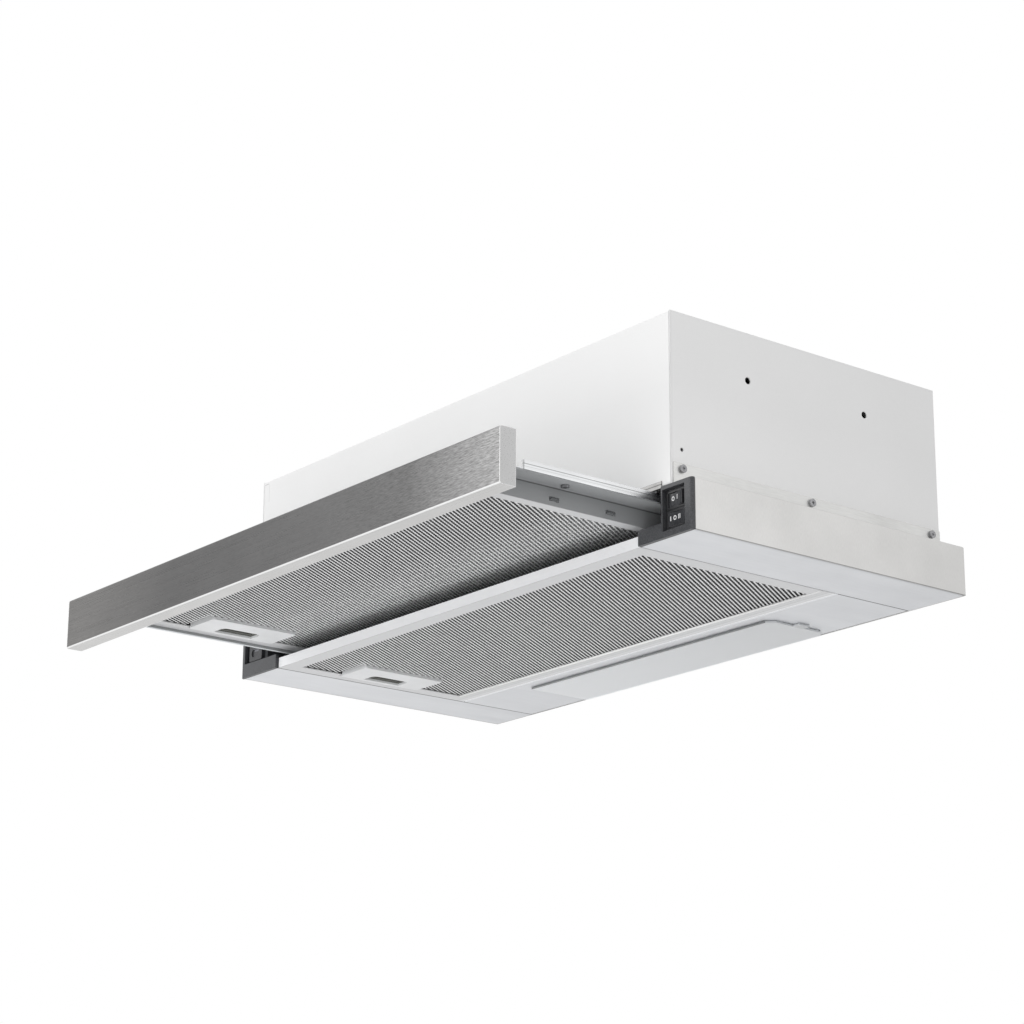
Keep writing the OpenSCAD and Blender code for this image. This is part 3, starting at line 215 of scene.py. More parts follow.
def spread(tree, value, low, high, start=NOISE_LOW, end=NOISE_HIGH):
    """Maps a value from start..end to low..high."""
    node = tree.nodes.new("ShaderNodeMapRange")
    limits = {"From Min": start, "From Max": end, "To Min": low, "To Max": high}
    for key, number in limits.items():
        node.inputs[key].default_value = number
    tree.links.new(value, node.inputs["Value"])
    return node.outputs["Result"]


def swing(tree, value, reach, middle=0.0):
    """Maps a noise to values that swing by a reach to both sides of a middle."""
    return spread(tree, value, middle - reach, middle + reach)


def rising(tree, value, start, end):
    """A mask that rises from 0 at start to 1 at end."""
    return spread(tree, value, 0.0, 1.0, start, end)


def masked(tree, mask, low, high):
    """Low where the mask is 0 and high where it is 1."""
    return spread(tree, mask, low, high, 0.0, 1.0)


def total(tree, a, b, kind="ADD"):
    """Two values added, or joined by another kind of sum. The second may be a plain number."""
    node = tree.nodes.new("ShaderNodeMath")
    node.operation = kind
    tree.links.new(a, node.inputs[0])
    if isinstance(b, float):
        node.inputs[1].default_value = b
    else:
        tree.links.new(b, node.inputs[1])
    return node.outputs["Value"]


def placed(tree, output="Object"):
    """X, Y and Z of the place in millimetres in the row frame, or of the surface's direction with
    output Normal."""
    source = tree.nodes.new("ShaderNodeTexCoord")
    scale = tree.nodes.new("ShaderNodeVectorMath")
    scale.operation = "SCALE"
    scale.inputs["Scale"].default_value = 1 / MM if output == "Object" else 1.0
    split = tree.nodes.new("ShaderNodeSeparateXYZ")
    tree.links.new(source.outputs[output], scale.inputs[0])
    tree.links.new(scale.outputs["Vector"], split.inputs["Vector"])
    return split.outputs


def zone(tree, spans, soft=0.15, output="Object"):
    """1 where the place lies within every span by axis and 0 outside, with soft flanks."""
    sockets = placed(tree, output)
    mask = None
    for axis, (low, high) in spans.items():
        for start, end in ((low - soft, low + soft), (high + soft, high - soft)):
            side = rising(tree, sockets[axis], start, end)
            mask = side if mask is None else total(tree, mask, side, "MULTIPLY")
    return mask


def lined(tree, gain, lines):
    """The gain, turned to a level within each zone of (spans, level)."""
    for spans, level in lines:
        gain = total(tree, gain, masked(tree, zone(tree, spans), 1.0, level), "MULTIPLY")
    return gain


def faded(tree, gain, ramps):
    """The gain times a level that runs along an axis, for each ramp of (axis, start, end, level,
    last level)."""
    for axis, start, end, level, last in ramps:
        slope = spread(tree, placed(tree)[axis], level, last, start, end)
        gain = total(tree, gain, slope, "MULTIPLY")
    return gain


def edges(tree, radius, flat=0.985, full=0.8):
    """1 along the edges of a solid and 0 on its open faces, for edges rounded by a radius in
    millimetres. Flat and full are the cosines of the lean at which the mask starts and is 1."""
    bevel = tree.nodes.new("ShaderNodeBevel")
    bevel.samples = EDGE_SAMPLES
    bevel.inputs["Radius"].default_value = radius * MM
    geometry = tree.nodes.new("ShaderNodeNewGeometry")
    lean = tree.nodes.new("ShaderNodeVectorMath")
    lean.operation = "DOT_PRODUCT"
    tree.links.new(bevel.outputs["Normal"], lean.inputs[0])
    tree.links.new(geometry.outputs["True Normal"], lean.inputs[1])
    return spread(tree, lean.outputs["Value"], 1.0, 0.0, full, flat)


def mixed(tree, mask, first, second):
    """First where the mask is 0 and second where it is 1, each a colour or a socket."""
    node = tree.nodes.new("ShaderNodeMix")
    node.data_type = "RGBA"
    tree.links.new(mask, node.inputs["Factor"])
    for socket, value in ((node.inputs[6], first), (node.inputs[7], second)):
        if isinstance(value, bpy.types.NodeSocket):
            tree.links.new(value, socket)
        else:
            socket.default_value = (*value, 1)
    return node.outputs[2]


def tinted(tree, shader, colour, gain, trim=None):
    """The base colour, made lighter and darker by a gain near 1, with a trim of (mask, colour)
    over it."""
    node = tree.nodes.new("ShaderNodeVectorMath")
    node.operation = "SCALE"
    if isinstance(colour, bpy.types.NodeSocket):
        tree.links.new(colour, node.inputs[0])
    else:
        node.inputs[0].default_value = colour
    tree.links.new(gain, node.inputs["Scale"])
    result = node.outputs["Vector"]
    if trim:
        result = mixed(tree, trim[0], result, trim[1])
    tree.links.new(result, shader.inputs["Base Color"])


def bumped(tree, shader, height, depth, edge=0.0):
    """Bump of a depth in millimetres, over edges rounded by a radius in millimetres."""
    bump = tree.nodes.new("ShaderNodeBump")
    bump.inputs["Strength"].default_value = 1.0
    bump.inputs["Distance"].default_value = depth * MM
    tree.links.new(height, bump.inputs["Height"])
    if edge:
        bevel = tree.nodes.new("ShaderNodeBevel")
        bevel.samples = BEVEL_SAMPLES
        bevel.inputs["Radius"].default_value = edge * MM
        tree.links.new(bevel.outputs["Normal"], bump.inputs["Normal"])
    tree.links.new(bump.outputs["Normal"], shader.inputs["Normal"])


def rough(tree, shader, value, middle, reach):
    """Roughness that swings with a noise by a reach to both sides of a middle."""
    tree.links.new(swing(tree, value, reach, middle), shader.inputs["Roughness"])


# Grains and clouds of the finishes, sizes along X, Y and Z in millimetres
PLASTIC_CLOUD = (40, 40, 40)
PAINT_PEEL = (1.6, 1.6, 1.6)
PAINT_CLOUD = (90, 90, 90)
BRUSH_CLOUD = (38, 38, 38)
SATIN_MARKS = (30, 0.6, 0.6)
SATIN_CLOUD = (30, 30, 30)
FRONT_GRAIN = (6, 0.7, 0.7)
FRONT_STREAKS = (90, 0.7, 0.7)
FRONT_CLOUD = (45, 30, 30)
GLASS_CLOUD = (60, 60, 60)
GLINT_GRAIN = (2.2, 2.2, 2.2)

# Depth of bump and radius of rounded edges in millimetres
PLASTIC_BUMP = 0.02
PAINT_BUMP = 0.01
BRUSH_BUMP = 0.012
SATIN_BUMP = 0.006
SATIN_EDGE = 0.25
FRONT_BUMP = 0.008
FRONT_ROUNDING = 0.4

# Roughness of finishes with only one, and how much more the satin's front faces have
SATIN_ROUGHNESS = 0.38
SATIN_FRONT_ROUGHER = 0.22
FRONT_ROUGHNESS = 0.31
GLINT_ROUGHNESS = 0.4
HAZE = 0.03

# Broad streaks of brushed sheet, by how many times the fine ones' width and length
BROAD_WIDTH = 7
BROAD_LENGTH = 5


def plastic(name, colour, roughness, grain=0.5, edge=0.3, contrast=0.04, edge_highlight=0.0, lines=()):
    """Moulded plastic with a fine grain, its edges painted lighter by a share as a painted
    highlight.
    """
    material, tree, shader = shaded(name)
    fine = noise(tree, (grain, grain, grain))
    cloud = noise(tree, PLASTIC_CLOUD, offset=3.1)
    gain = total(tree, swing(tree, cloud, 0.06, 1.0), swing(tree, fine, contrast))
    trim = None
    # Painted highlight along the edges
    if edge_highlight:
        trim = total(tree, edges(tree, edge), edge_highlight, "MULTIPLY"), EDGE_HIGHLIGHT_GREY
    tinted(tree, shader, colour, lined(tree, gain, lines), trim)
    rough(tree, shader, fine, roughness, 0.05)
    bumped(tree, shader, fine, PLASTIC_BUMP, edge)
    return material


def paint(name, colour, roughness=0.42, edge=0.5, lines=(), fold_highlight=None, ramps=()):
    """Powder coat with a faint orange peel, and a painted highlight along the edges where the coat
    rounds a fold.
    """
    material, tree, shader = shaded(name)
    peel = noise(tree, PAINT_PEEL, detail=2.0)
    cloud = noise(tree, PAINT_CLOUD, offset=1.3)
    gain = total(tree, spread(tree, cloud, 0.985, 1.012), swing(tree, peel, 0.006))
    # Painted highlight along rounded folds
    trim = (edges(tree, edge), fold_highlight) if fold_highlight else None
    tinted(tree, shader, colour, faded(tree, lined(tree, gain, lines), ramps), trim)
    rough(tree, shader, cloud, roughness, 0.04)
    bumped(tree, shader, peel, PAINT_BUMP, edge)
    return material


def brushed(
    name, colour, along, roughness=0.34, contrast=0.08, mottle=0.04, edge=0.3, grain=(0.5, 22),
    lines=(), ramps=(), metallic=1.0
):
    """Brushed or rolled sheet: streaks along one axis with a slow mottle. The grain is the streaks'
    width and length."""
    material, tree, shader = shaded(name)
    shader.inputs["Metallic"].default_value = metallic
    width, length = grain
    fine = noise(tree, [length if axis == along else width for axis in (X, Y, Z)], detail=4.0)
    broad = (length * BROAD_LENGTH, width * BROAD_WIDTH)
    wide = noise(tree, [broad[0] if axis == along else broad[1] for axis in (X, Y, Z)], offset=5.0)
    cloud = noise(tree, BRUSH_CLOUD, offset=2.0, detail=4.0)
    gain = total(tree, swing(tree, fine, contrast, 1.0), swing(tree, wide, contrast / 2))
    gain = total(tree, gain, swing(tree, cloud, mottle))
    tinted(tree, shader, colour, faded(tree, lined(tree, gain, lines), ramps))
    rough(tree, shader, wide, roughness, 0.06)
    bumped(tree, shader, fine, BRUSH_BUMP, edge)
    return material


def satin(name, colour, lines=(), front=1.0, dark=None):
    """Anodised aluminium, matt and pale, with rolling marks along X. Its front faces are rougher,
    and painted paler by a level as painted light. Dark makes the mask and colour of one zone of
    painted shade."""
    material, tree, shader = shaded(name)
    fine = noise(tree, SATIN_MARKS, detail=4.0)
    cloud = noise(tree, SATIN_CLOUD, offset=2.0)
    gain = total(tree, swing(tree, fine, 0.015, 1.0), swing(tree, cloud, 0.015))
    # Front faces, painted paler by the front level as painted light
    facing = zone(tree, FACES_FRONT, FACING_SOFT, "Normal")
    gain = total(tree, gain, masked(tree, facing, 1.0, front), "MULTIPLY")
    tinted(tree, shader, colour, lined(tree, gain, lines), dark(tree) if dark else None)
    matt = swing(tree, cloud, 0.04, SATIN_ROUGHNESS)
    matt = total(tree, matt, masked(tree, facing, 0.0, SATIN_FRONT_ROUGHER))
    tree.links.new(matt, shader.inputs["Roughness"])
    bumped(tree, shader, fine, SATIN_BUMP, SATIN_EDGE)
    return material


# The drawer's front: how far its painted reflections and its strong grain, partly a painted sheen,
# run in from its ends in millimetres
FRONT_LEFT_START = 20
FRONT_LEFT_END = 170
FRONT_RIGHT_RUN = 110
FRONT_GRAIN_SHEEN_RUN = 230

# Its grain's weakest and strongest level, the strength partly a painted sheen, the height of its
# painted highlight along the foot, and its edges' painted highlights
FRONT_GRAIN_SHEEN_WEAK = 0.09
FRONT_GRAIN_SHEEN_STRONG = 0.44
FRONT_FOOT_HIGHLIGHT = 1.3
FRONT_HIGHLIGHT_R = 1.0
FRONT_HIGHLIGHT_FLAT = 0.995


def front_steel(name):
    """The drawer's front: painted dark where it mirrors the room, its grain along X stronger
    towards the right end as a painted sheen, with painted reflections lighter at its ends, painted
    light on its other faces and underside, and painted highlights along its edges and foot."""
    material, tree, shader = shaded(name)
    shader.inputs["Metallic"].default_value = 1.0
    low, high = sized("drawer_panel")
    x = placed(tree)[X]
    fine = noise(tree, FRONT_GRAIN, detail=3.0)
    long = noise(tree, FRONT_STREAKS, detail=4.0, offset=4.0)
    cloud = noise(tree, FRONT_CLOUD, offset=2.0, detail=2.0)
    # The grain grows stronger towards the right end as a painted sheen
    near_right = rising(tree, x, high.x - FRONT_GRAIN_SHEEN_RUN, high.x)
    strength = masked(tree, near_right, FRONT_GRAIN_SHEEN_WEAK, FRONT_GRAIN_SHEEN_STRONG)
    wave = total(tree, swing(tree, fine, 1.0), strength, "MULTIPLY")
    gain = total(tree, swing(tree, long, 0.06, 1.0), swing(tree, cloud, 0.035))
    front = zone(tree, FACES_FRONT, FACING_SOFT, "Normal")
    under = zone(tree, FACES_DOWN, FACING_SOFT, "Normal")
    gain = total(tree, gain, total(tree, wave, front, "MULTIPLY"))
    # Painted reflections, lighter at the ends, and painted light on the other faces and the
    # underside
    past_left = rising(tree, x, low.x + FRONT_LEFT_START, low.x + FRONT_LEFT_END)
    tone = mixed(tree, past_left, FRONT_LEFT_REFLECTION, FRONT_MIDDLE_REFLECTION)
    tone = mixed(tree, rising(tree, x, high.x - FRONT_RIGHT_RUN, high.x), tone, FRONT_RIGHT_REFLECTION)
    tone = mixed(tree, under, mixed(tree, front, FRONT_SIDES_LIT, tone), FRONT_UNDER_LIT)
    # Painted highlights along the foot and the rounded edges
    foot = zone(tree, {Y: around(low.y, 1), Z: after(low.z, FRONT_FOOT_HIGHLIGHT)}, 0.3)
    light = total(tree, edges(tree, FRONT_HIGHLIGHT_R, FRONT_HIGHLIGHT_FLAT), foot, "MAXIMUM")
    tinted(tree, shader, tone, gain, (light, FRONT_EDGE_HIGHLIGHT))
    rough(tree, shader, long, FRONT_ROUGHNESS, 0.05)
    bumped(tree, shader, fine, FRONT_BUMP, FRONT_ROUNDING)
    return material


def see_through(name, colour, roughness, transmission, ior=1.5, lines=(), ramps=()):
    """Glass or clear plastic with a faint haze of handling on it."""
    material, tree, shader = shaded(name)
    shader.inputs["Transmission Weight"].default_value = transmission
    shader.inputs["IOR"].default_value = ior
    cloud = noise(tree, GLASS_CLOUD)
    gain = lined(tree, swing(tree, cloud, 0.01, 1.0), lines)
    tinted(tree, shader, colour, faded(tree, gain, ramps))
    tree.links.new(spread(tree, cloud, roughness, roughness + HAZE), shader.inputs["Roughness"])
    return material


# How far before the rear edge of the drawer's filter the painted glints and painted lighter grey
# start and are full
GLINT_START = 112.0
GLINT_FULL = 74.0

# Values of the grain between which a glint rises
GLINT_LOW = 0.56
GLINT_HIGH = 0.6


def glinting(name):
    """The drawer filter's core sheet: painted dark shade, towards the rear a painted lighter grey,
    with painted glints of light through the mesh.
    """
    material, tree, shader = shaded(name)
    high = highest("drawer_filter_mesh")
    grain = noise(tree, GLINT_GRAIN, detail=1.0)
    rear = rising(tree, placed(tree)[Y], high.y - GLINT_START, high.y - GLINT_FULL)
    glints = total(tree, rising(tree, grain, GLINT_LOW, GLINT_HIGH), rear, "MULTIPLY")
    colour = mixed(tree, rear, SHADE_GREY, GLINT_GREY)
    tinted(tree, shader, colour, swing(tree, grain, 0.3, 1.0), (glints, MARK_AND_GLINT_WHITE))
    shader.inputs["Roughness"].default_value = GLINT_ROUGHNESS
    return material


# Painted light on the housing: levels of its side at its front and its rear, of its foot, and of
# its two ends
HOUSING_FRONT = 1.03
HOUSING_REAR = 0.94
HOUSING_FOOT = 1.05
HOUSING_LEFT = 0.97
HOUSING_RIGHT = 1.03

# Heights over the foot between which it fades, and the seam's place from the left end
FOOT_START = 20
FOOT_END = 80
SEAM_INSET = 8


def housing_light_ramps():
    """Painted light: the side is painted darker to the rear, and the foot and the right end a
    little lighter.
    """
    low, high = sized("housing_wrap")
    return [
        (Y, low.y, high.y, HOUSING_FRONT, HOUSING_REAR),
        (Z, low.z + FOOT_START, low.z + FOOT_END, HOUSING_FOOT, 1.0),
        (X, low.x, high.x, HOUSING_LEFT, HOUSING_RIGHT),
    ]


def housing_lines():
    """The front's own level, and on it the seam of the side's flange near the left end."""
    low, high = sized("housing_wrap")
    seam_x = low.x + SEAM_INSET
    front = {Y: around(low.y, 2)}
    return [
        (front, 1 / HOUSING_FRONT),
        # The seam's upright and its short level end
        ({X: around(seam_x, 0.3), Z: (high.z - 20, high.z - 3), **front}, 0.82),
        ({X: (low.x + 1, seam_x - 1), Z: (high.z - 3.2, high.z - 2.4), **front}, 0.7),
    ]


# Inner edges of the base sides' decks, to both sides of the middle
BASE_INNER = 276.0


def base_lines():
    """Shadow lines where a base side meets the border, the strip and the switch cap, and the
    shaded face and groove of the front cross rail."""
    low, high = sized("base_side_right")
    face = {X: before(high.x, 0.6)}
    rail = {X: (-BASE_INNER, BASE_INNER), Y: (low.y - 5, low.y + 16)}
    return [
        # Foot, top and front edge of the side
        ({Z: after(low.z, 0.45), **face}, 0.45),
        ({Z: before(high.z, 0.5), **face}, 0.6),
        ({Y: after(low.y, 0.4), **face}, 0.5),
        # Cross rail
        ({**rail, Z: (high.z - 1.2, high.z + 8)}, 0.5),
        ({**rail, Z: (high.z + 1.5, high.z + 2.3)}, 0.4),
    ]


def side_ramp(node, level, last):
    """Light that runs from the front of a node to its rear."""
    low, high = sized(node)
    return [(Y, low.y, high.y, level, last)]


def border_lines():
    """Lines along the seams of the underside: shadows, and a painted highlight along the lamp
    panel's front edge.
    """
    low, high = sized("bottom_border_right")
    left = highest("bottom_border_left")
    lamp_low, lamp_high = sized("lamp_panel")
    under = {Z: (-3, 0.6)}
    lamp_x = (lamp_low.x, lamp_high.x)
    lamp_y = (lamp_low.y, lamp_high.y + 1)
    return [
        # Outer and inner edge of the right border, inner edge of the left one
        ({X: before(high.x, 0.5), **under}, 0.4),
        ({X: after(low.x, 0.35), **under}, 0.5),
        ({X: before(left.x, 0.7), **under}, 0.4),
        # Right and left end of the lamp panel, and its front edge
        ({X: (lamp_high.x - 0.5, low.x), Y: lamp_y, **under}, 0.4),
        ({X: (left.x, lamp_low.x + 0.5), Y: lamp_y, **under}, 0.6),
        # Painted highlight along the lamp panel's folded front edge
        ({Y: (lamp_low.y + 0.6, lamp_low.y + 1.3), X: lamp_x, **under}, 1.25),
        ({Y: after(lamp_low.y, 0.3), X: lamp_x, **under}, 0.6),
    ]


def runner_lines():
    """Steps of the slide's drawer member: painted shade lines, dark and fainter, a painted
    highlight along its lower edge, and a darker front end.
    """
    low = lowest("slide_runner_right")
    return [
        ({Z: (low.z + 3.9, low.z + 4.5)}, 0.45),
        ({Z: (low.z + 2.0, low.z + 2.5)}, 0.8),
        ({Z: after(low.z, 0.6)}, 1.15),
        ({Y: after(low.y, 0.9)}, 0.5),
    ]


def wall_lines():
    """Painted shade in the fold below a drawer wall's flange, painted light on the flange's
    underside and a painted highlight along the left wall's foot."""
    low, high = sized("drawer_wall_right")
    left = -low.x - 1
    return [
        ({Z: (high.z - 2.6, high.z - 1.5)}, 0.45),
        ({Z: before(high.z, 1.2)}, 1.25),
        ({X: after(left, 2), Z: after(low.z, 0.8)}, 3.0),
    ]


def cover_lines():
    """The lamp cover's shaded front edge, painted highlight on its rear edge and shaded finger tab.
    """
    low, high = sized("lamp_cover")
    middle = (low.y + high.y) / 2
    return [
        ({Y: after(low.y, 0.9)}, 0.35),
        ({Y: before(high.y, 1.2)}, 1.12),
        ({X: (high.x - 8, high.x - 0.6), Y: around(middle, 5)}, 0.8),
    ]


def cover_ramps():
    """The lamp cover's light falls off to the right."""
    low, high = sized("lamp_cover")
    return [(X, low.x, high.x, 1.03, 0.83)]


def frame_lines():
    """The fixed filter's frame from below: painted shade along a step at its rear border, a painted
    highlight on its rear edge, a slightly lighter band between them, and shaded left and front
    edges."""
    low, high = sized("filter_frame")
    under = {Z: (-2, 0.5)}
    return [
        ({Y: (high.y - 7.6, high.y - 7.0), **under}, 0.75),
        ({Y: before(high.y, 1.3), **under}, 1.6),
        ({Y: (high.y - 6.9, high.y - 1.6), **under}, 1.08),
        ({X: after(low.x, 0.4), **under}, 0.6),
        ({Y: after(low.y, 0.4), **under}, 0.8),
    ]


LATCH_RIB = 1.7


def latch_lines():
    """The finger ribs of the two latches, below their plates, lie in the shade of the recess."""
    latches = ("filter_latch", "drawer_filter_latch")
    return [({Z: after(lowest(latch).z, LATCH_RIB)}, 0.7) for latch in latches]


def blank_lines():
    """The bright spot of the lamplight on the insert's boss."""
    low, high = sized("blank_insert")
    x, z = (low.x + high.x) / 2, (low.z + high.z) / 2
    return [({X: around(x, 3.2), Z: (z + 1.5, z + 4)}, 5.0)]


TONGUE_START = 1.6
TONGUE_REACH = 10


def tongue_shade(tree):
    """The frame's tongues, past its right side, lie in the shade of the drawer wall or border."""
    edge = highest("drawer_filter_mesh").x + TONGUE_START
    return zone(tree, {X: (edge, edge + TONGUE_REACH)}), TONGUE_SHADE_GREY


def make_materials():
    """A material for each slot, and for the finishes that only the scene's pieces have."""
    c = slot_colours
    return {
        # Housing and base
        "white_paint": paint(
            "white_paint", c["white_paint"], edge=1.1, lines=housing_lines(),
            fold_highlight=FOLD_HIGHLIGHT_WHITE, ramps=housing_light_ramps()
        ),
        "base_steel": brushed(
            "base_steel", BASE_PALE, Z, roughness=0.42, contrast=0.035, mottle=0.035,
            grain=(0.6, 3), lines=base_lines(), ramps=side_ramp("base_side_right", 1.08, 0.94)
        ),
        "border_steel": brushed(
            "border_steel", BORDER_PALE, Y, roughness=0.45, contrast=0.015, mottle=0.02,
            grain=(1.5, 30), lines=border_lines(),
            ramps=side_ramp("bottom_border_right", 1.08, 0.96)
        ),
        "strip_steel": brushed(
            "strip_steel", c["strip_steel"], Y, roughness=0.4, contrast=0.04, mottle=0.05,
            grain=(0.8, 10), ramps=side_ramp("foot_strip_right", 1.13, 1.02)
        ),
        "screw_steel": brushed(
            "screw_steel", SCREW_GREY, X, roughness=0.22, contrast=0.4, edge=0.4, grain=(0.7, 0.9)
        ),
        # Drawer and slides
        "panel_steel": front_steel("panel_steel"),
        "drawer_steel": paint(
            "drawer_steel", WALL_GREY, roughness=0.36, edge=0.3, lines=wall_lines()
        ),
        "drawer_glass": see_through("drawer_glass", c["drawer_glass"], 0.0, 1.0),
        "slide_zinc": brushed(
            "slide_zinc", c["slide_zinc"], Y, roughness=0.28, contrast=0.05, lines=runner_lines()
        ),
        "ball_cage": brushed("ball_cage", c["ball_cage"], Y, roughness=0.3, edge=0.1),
        # Lamp
        "lamp_white": paint("lamp_white", c["lamp_white"]),
        "led_board": plastic("led_board", c["led_board"], 0.45),
        "lamp_diffuser": see_through(
            "lamp_diffuser", c["lamp_diffuser"], 0.3, 0.25, ior=1.49, lines=cover_lines(),
            ramps=cover_ramps()
        ),
        # Switches
        "cap_plastic": plastic(
            "cap_plastic", CAP_GREY, 0.42, grain=0.8, edge=0.4, contrast=0.4, edge_highlight=0.45
        ),
        "switch_plastic": plastic(
            "switch_plastic", c["switch_plastic"], 0.36, contrast=0.1, edge_highlight=0.4
        ),
        "rocker_plastic": plastic(
            "rocker_plastic", c["rocker_plastic"], 0.3, contrast=0.1, edge_highlight=0.5
        ),
        "blank_plastic": plastic(
            "blank_plastic", BLANK_GREY, 0.3, contrast=0.1, edge_highlight=0.6, lines=blank_lines()
        ),
        "mark_white": plastic("mark_white", MARK_AND_GLINT_WHITE, 0.4, edge=0.0),
        # Filters
        # Its front faces carry painted light, and its tongues painted shade
        "filter_aluminium": satin(
            "filter_aluminium", FRAME_PALE, lines=frame_lines(), front=1.5, dark=tongue_shade
        ),
        # Painted highlight of the rolled window bead
        "bead_highlight": satin("bead_highlight", BEAD_HIGHLIGHT_WHITE),
        "mesh_aluminium": brushed(
            "mesh_aluminium", MESH_PALE, Y, roughness=0.36, contrast=0.12, edge=0.0,
            grain=(1, 3), metallic=0.5
        ),
        # Painted shade: a darker copy of the strands' metal for the strands that turn away
        "mesh_turned_shade": brushed(
            "mesh_turned_shade", MESH_TURNED_SHADE, Y, roughness=0.45, contrast=0.15, edge=0.0, grain=(1, 3)
        ),
        "mesh_shade": plastic("mesh_shade", SHADE_GREY, 0.5, grain=1.4, contrast=0.5, edge=0.0),
        "mesh_glint": glinting("mesh_glint"),
        "handle_plastic": plastic("handle_plastic", c["handle_plastic"], 0.45, grain=0.8),
        "latch_plastic": plastic("latch_plastic", OLIVE, 0.6, lines=latch_lines()),
        # Blower and outlet
        "blower_plastic": plastic("blower_plastic", c["blower_plastic"], 0.45, grain=1.0),
        "impeller_plastic": plastic("impeller_plastic", c["impeller_plastic"], 0.4),
        "shaft_steel": brushed("shaft_steel", c["shaft_steel"], X, roughness=0.2),
        "motor_metal": brushed("motor_metal", c["motor_metal"], X, roughness=0.45, mottle=0.08),
        "holder_steel": brushed("holder_steel", c["holder_steel"], Y, roughness=0.35),
        "capacitor_can": brushed("capacitor_can", c["capacitor_can"], Y, roughness=0.3),
        "terminal_plastic": plastic("terminal_plastic", c["terminal_plastic"], 0.45),
        "gland_plastic": plastic("gland_plastic", c["gland_plastic"], 0.4),
        "collar_plastic": plastic("collar_plastic", c["collar_plastic"], 0.42, grain=0.8),
        "flap_plastic": plastic("flap_plastic", c["flap_plastic"], 0.45, grain=0.8),
    }


materials = make_materials()
for node_name, node_object in nodes.items():
    node_object.data.materials.clear()
    node_object.data.materials.append(materials[node_slots[node_name]])


def new_piece(name, verts, faces, body, slot, finishes=(), smooth=False):
    """A mesh object from points in metres in the row frame, which rides on a body. It has the
    slot's finish, or others."""
    mesh = bpy.data.meshes.new(name)
    mesh.from_pydata(verts, [], faces)
    mesh.update()
    if smooth:
        mesh.shade_smooth()
    piece = bpy.data.objects.new(name, mesh)
    bpy.context.scene.collection.objects.link(piece)
    for finish in finishes or (slot,):
        mesh.materials.append(materials[finish])
    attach(piece, body)
    return piece


# Expanded metal of the filters, sizes in millimetres
MESH_PITCH_X = 4.1
MESH_PITCH_Y = 6.6
STRAND_W = 1.06
STRAND_T = 0.2
STRAND_TWIST = math.radians(24)
BOND_SHARE = 0.85
SHEET_INSET = 0.5
HANDLE_GAP = 1.0

# Width of the frame's border, and how far the fine sheets reach in under it
FRAME_EDGE = 15.0
SHEET_REACH = 12.0

# The core between the sheets: a dark sheet of painted shade that stands for the inner layers of
# mesh
CORE_WAVE = 0.9
CORE_T = 0.2
CORE_GAP = 0.02


def strand_corners(across, through):
    """The corners of a strand's section, from the directions of its width and its thickness."""
    a, t = across * STRAND_W / 2, through * STRAND_T / 2
    return -a - t, a - t, a + t, t - a


def expanded_sheet(x, y, z, notch=None, twist=STRAND_TWIST):
    """Points, faces and finish numbers of one sheet of expanded metal that fills x by y at height
    z, but for the notch. Each strand is a ribbon that runs zigzag along Y, lies flat where it is
    bonded to its neighbours and twists between the bonds, with its rear edge up. Stretches that
    lean away from the front have finish 1, a darker copy of the strands' metal as painted shade."""
    verts, faces, finishes = [], [], []
    half_x, half_y = MESH_PITCH_X / 2, MESH_PITCH_Y / 2
    columns = int((x[1] - x[0]) / half_x)
    rows = int((y[1] - y[0]) / half_y)
    inset = STRAND_W / 2 * BOND_SHARE
    reach = half_x - 2 * inset
    slant = math.hypot(reach, half_y)
    bond = strand_corners(Vector((1, 0, 0)), Vector((0, 0, 1)))
    turned = {}
    for side in (1, -1):
        flat = Vector((half_y / slant, side * reach / slant, 0))
        turned[side] = strand_corners(
            flat * math.cos(twist) + Vector((0, 0, side * math.sin(twist))),
            Vector((0, 0, math.cos(twist))) - flat * side * math.sin(twist),
        )

    def section(at, corners, start, finish):
        """Adds a section to the strand, and gives back the number of the strand's first point."""
        base = len(verts)
        verts.extend((at + corner) * MM for corner in corners)
        if start is None:
            faces.append((base, base + 1, base + 2, base + 3))
            finishes.append(0)
            return base
        for k in range(4):
            n = (k + 1) % 4
            faces.append((base - 4 + k, base - 4 + n, base + n, base + k))
            finishes.append(finish)
        return start

    def close(start):
        """Ends the strand, or takes it out if it has only one section."""
        if start is None:
            return
        base = len(verts) - 4
        if base == start:
            del verts[base:]
            faces.pop()
            finishes.pop()
        else:
            faces.append((base + 3, base + 2, base + 1, base))
            finishes.append(0)

    for c in range(columns):
        start = None
        previous = None
        for r in range(rows + 1):
            left = (c + r) % 2 == 0
            px = x[0] + (c * half_x + inset if left else (c + 1) * half_x - inset)
            at = Vector((px, y[0] + r * half_y, z))
            if notch and at.x < notch[0] and notch[1] < at.y < notch[2]:
                close(start)
                start = None
                previous = None
                continue
            away = 0 if left else 1
            if twist and previous:
                middle = (previous + at) / 2
                start = section(middle, turned[-1 if away else 1], start, away)
            start = section(at, bond, start, away)
            previous = at
        close(start)
    return verts, faces, finishes


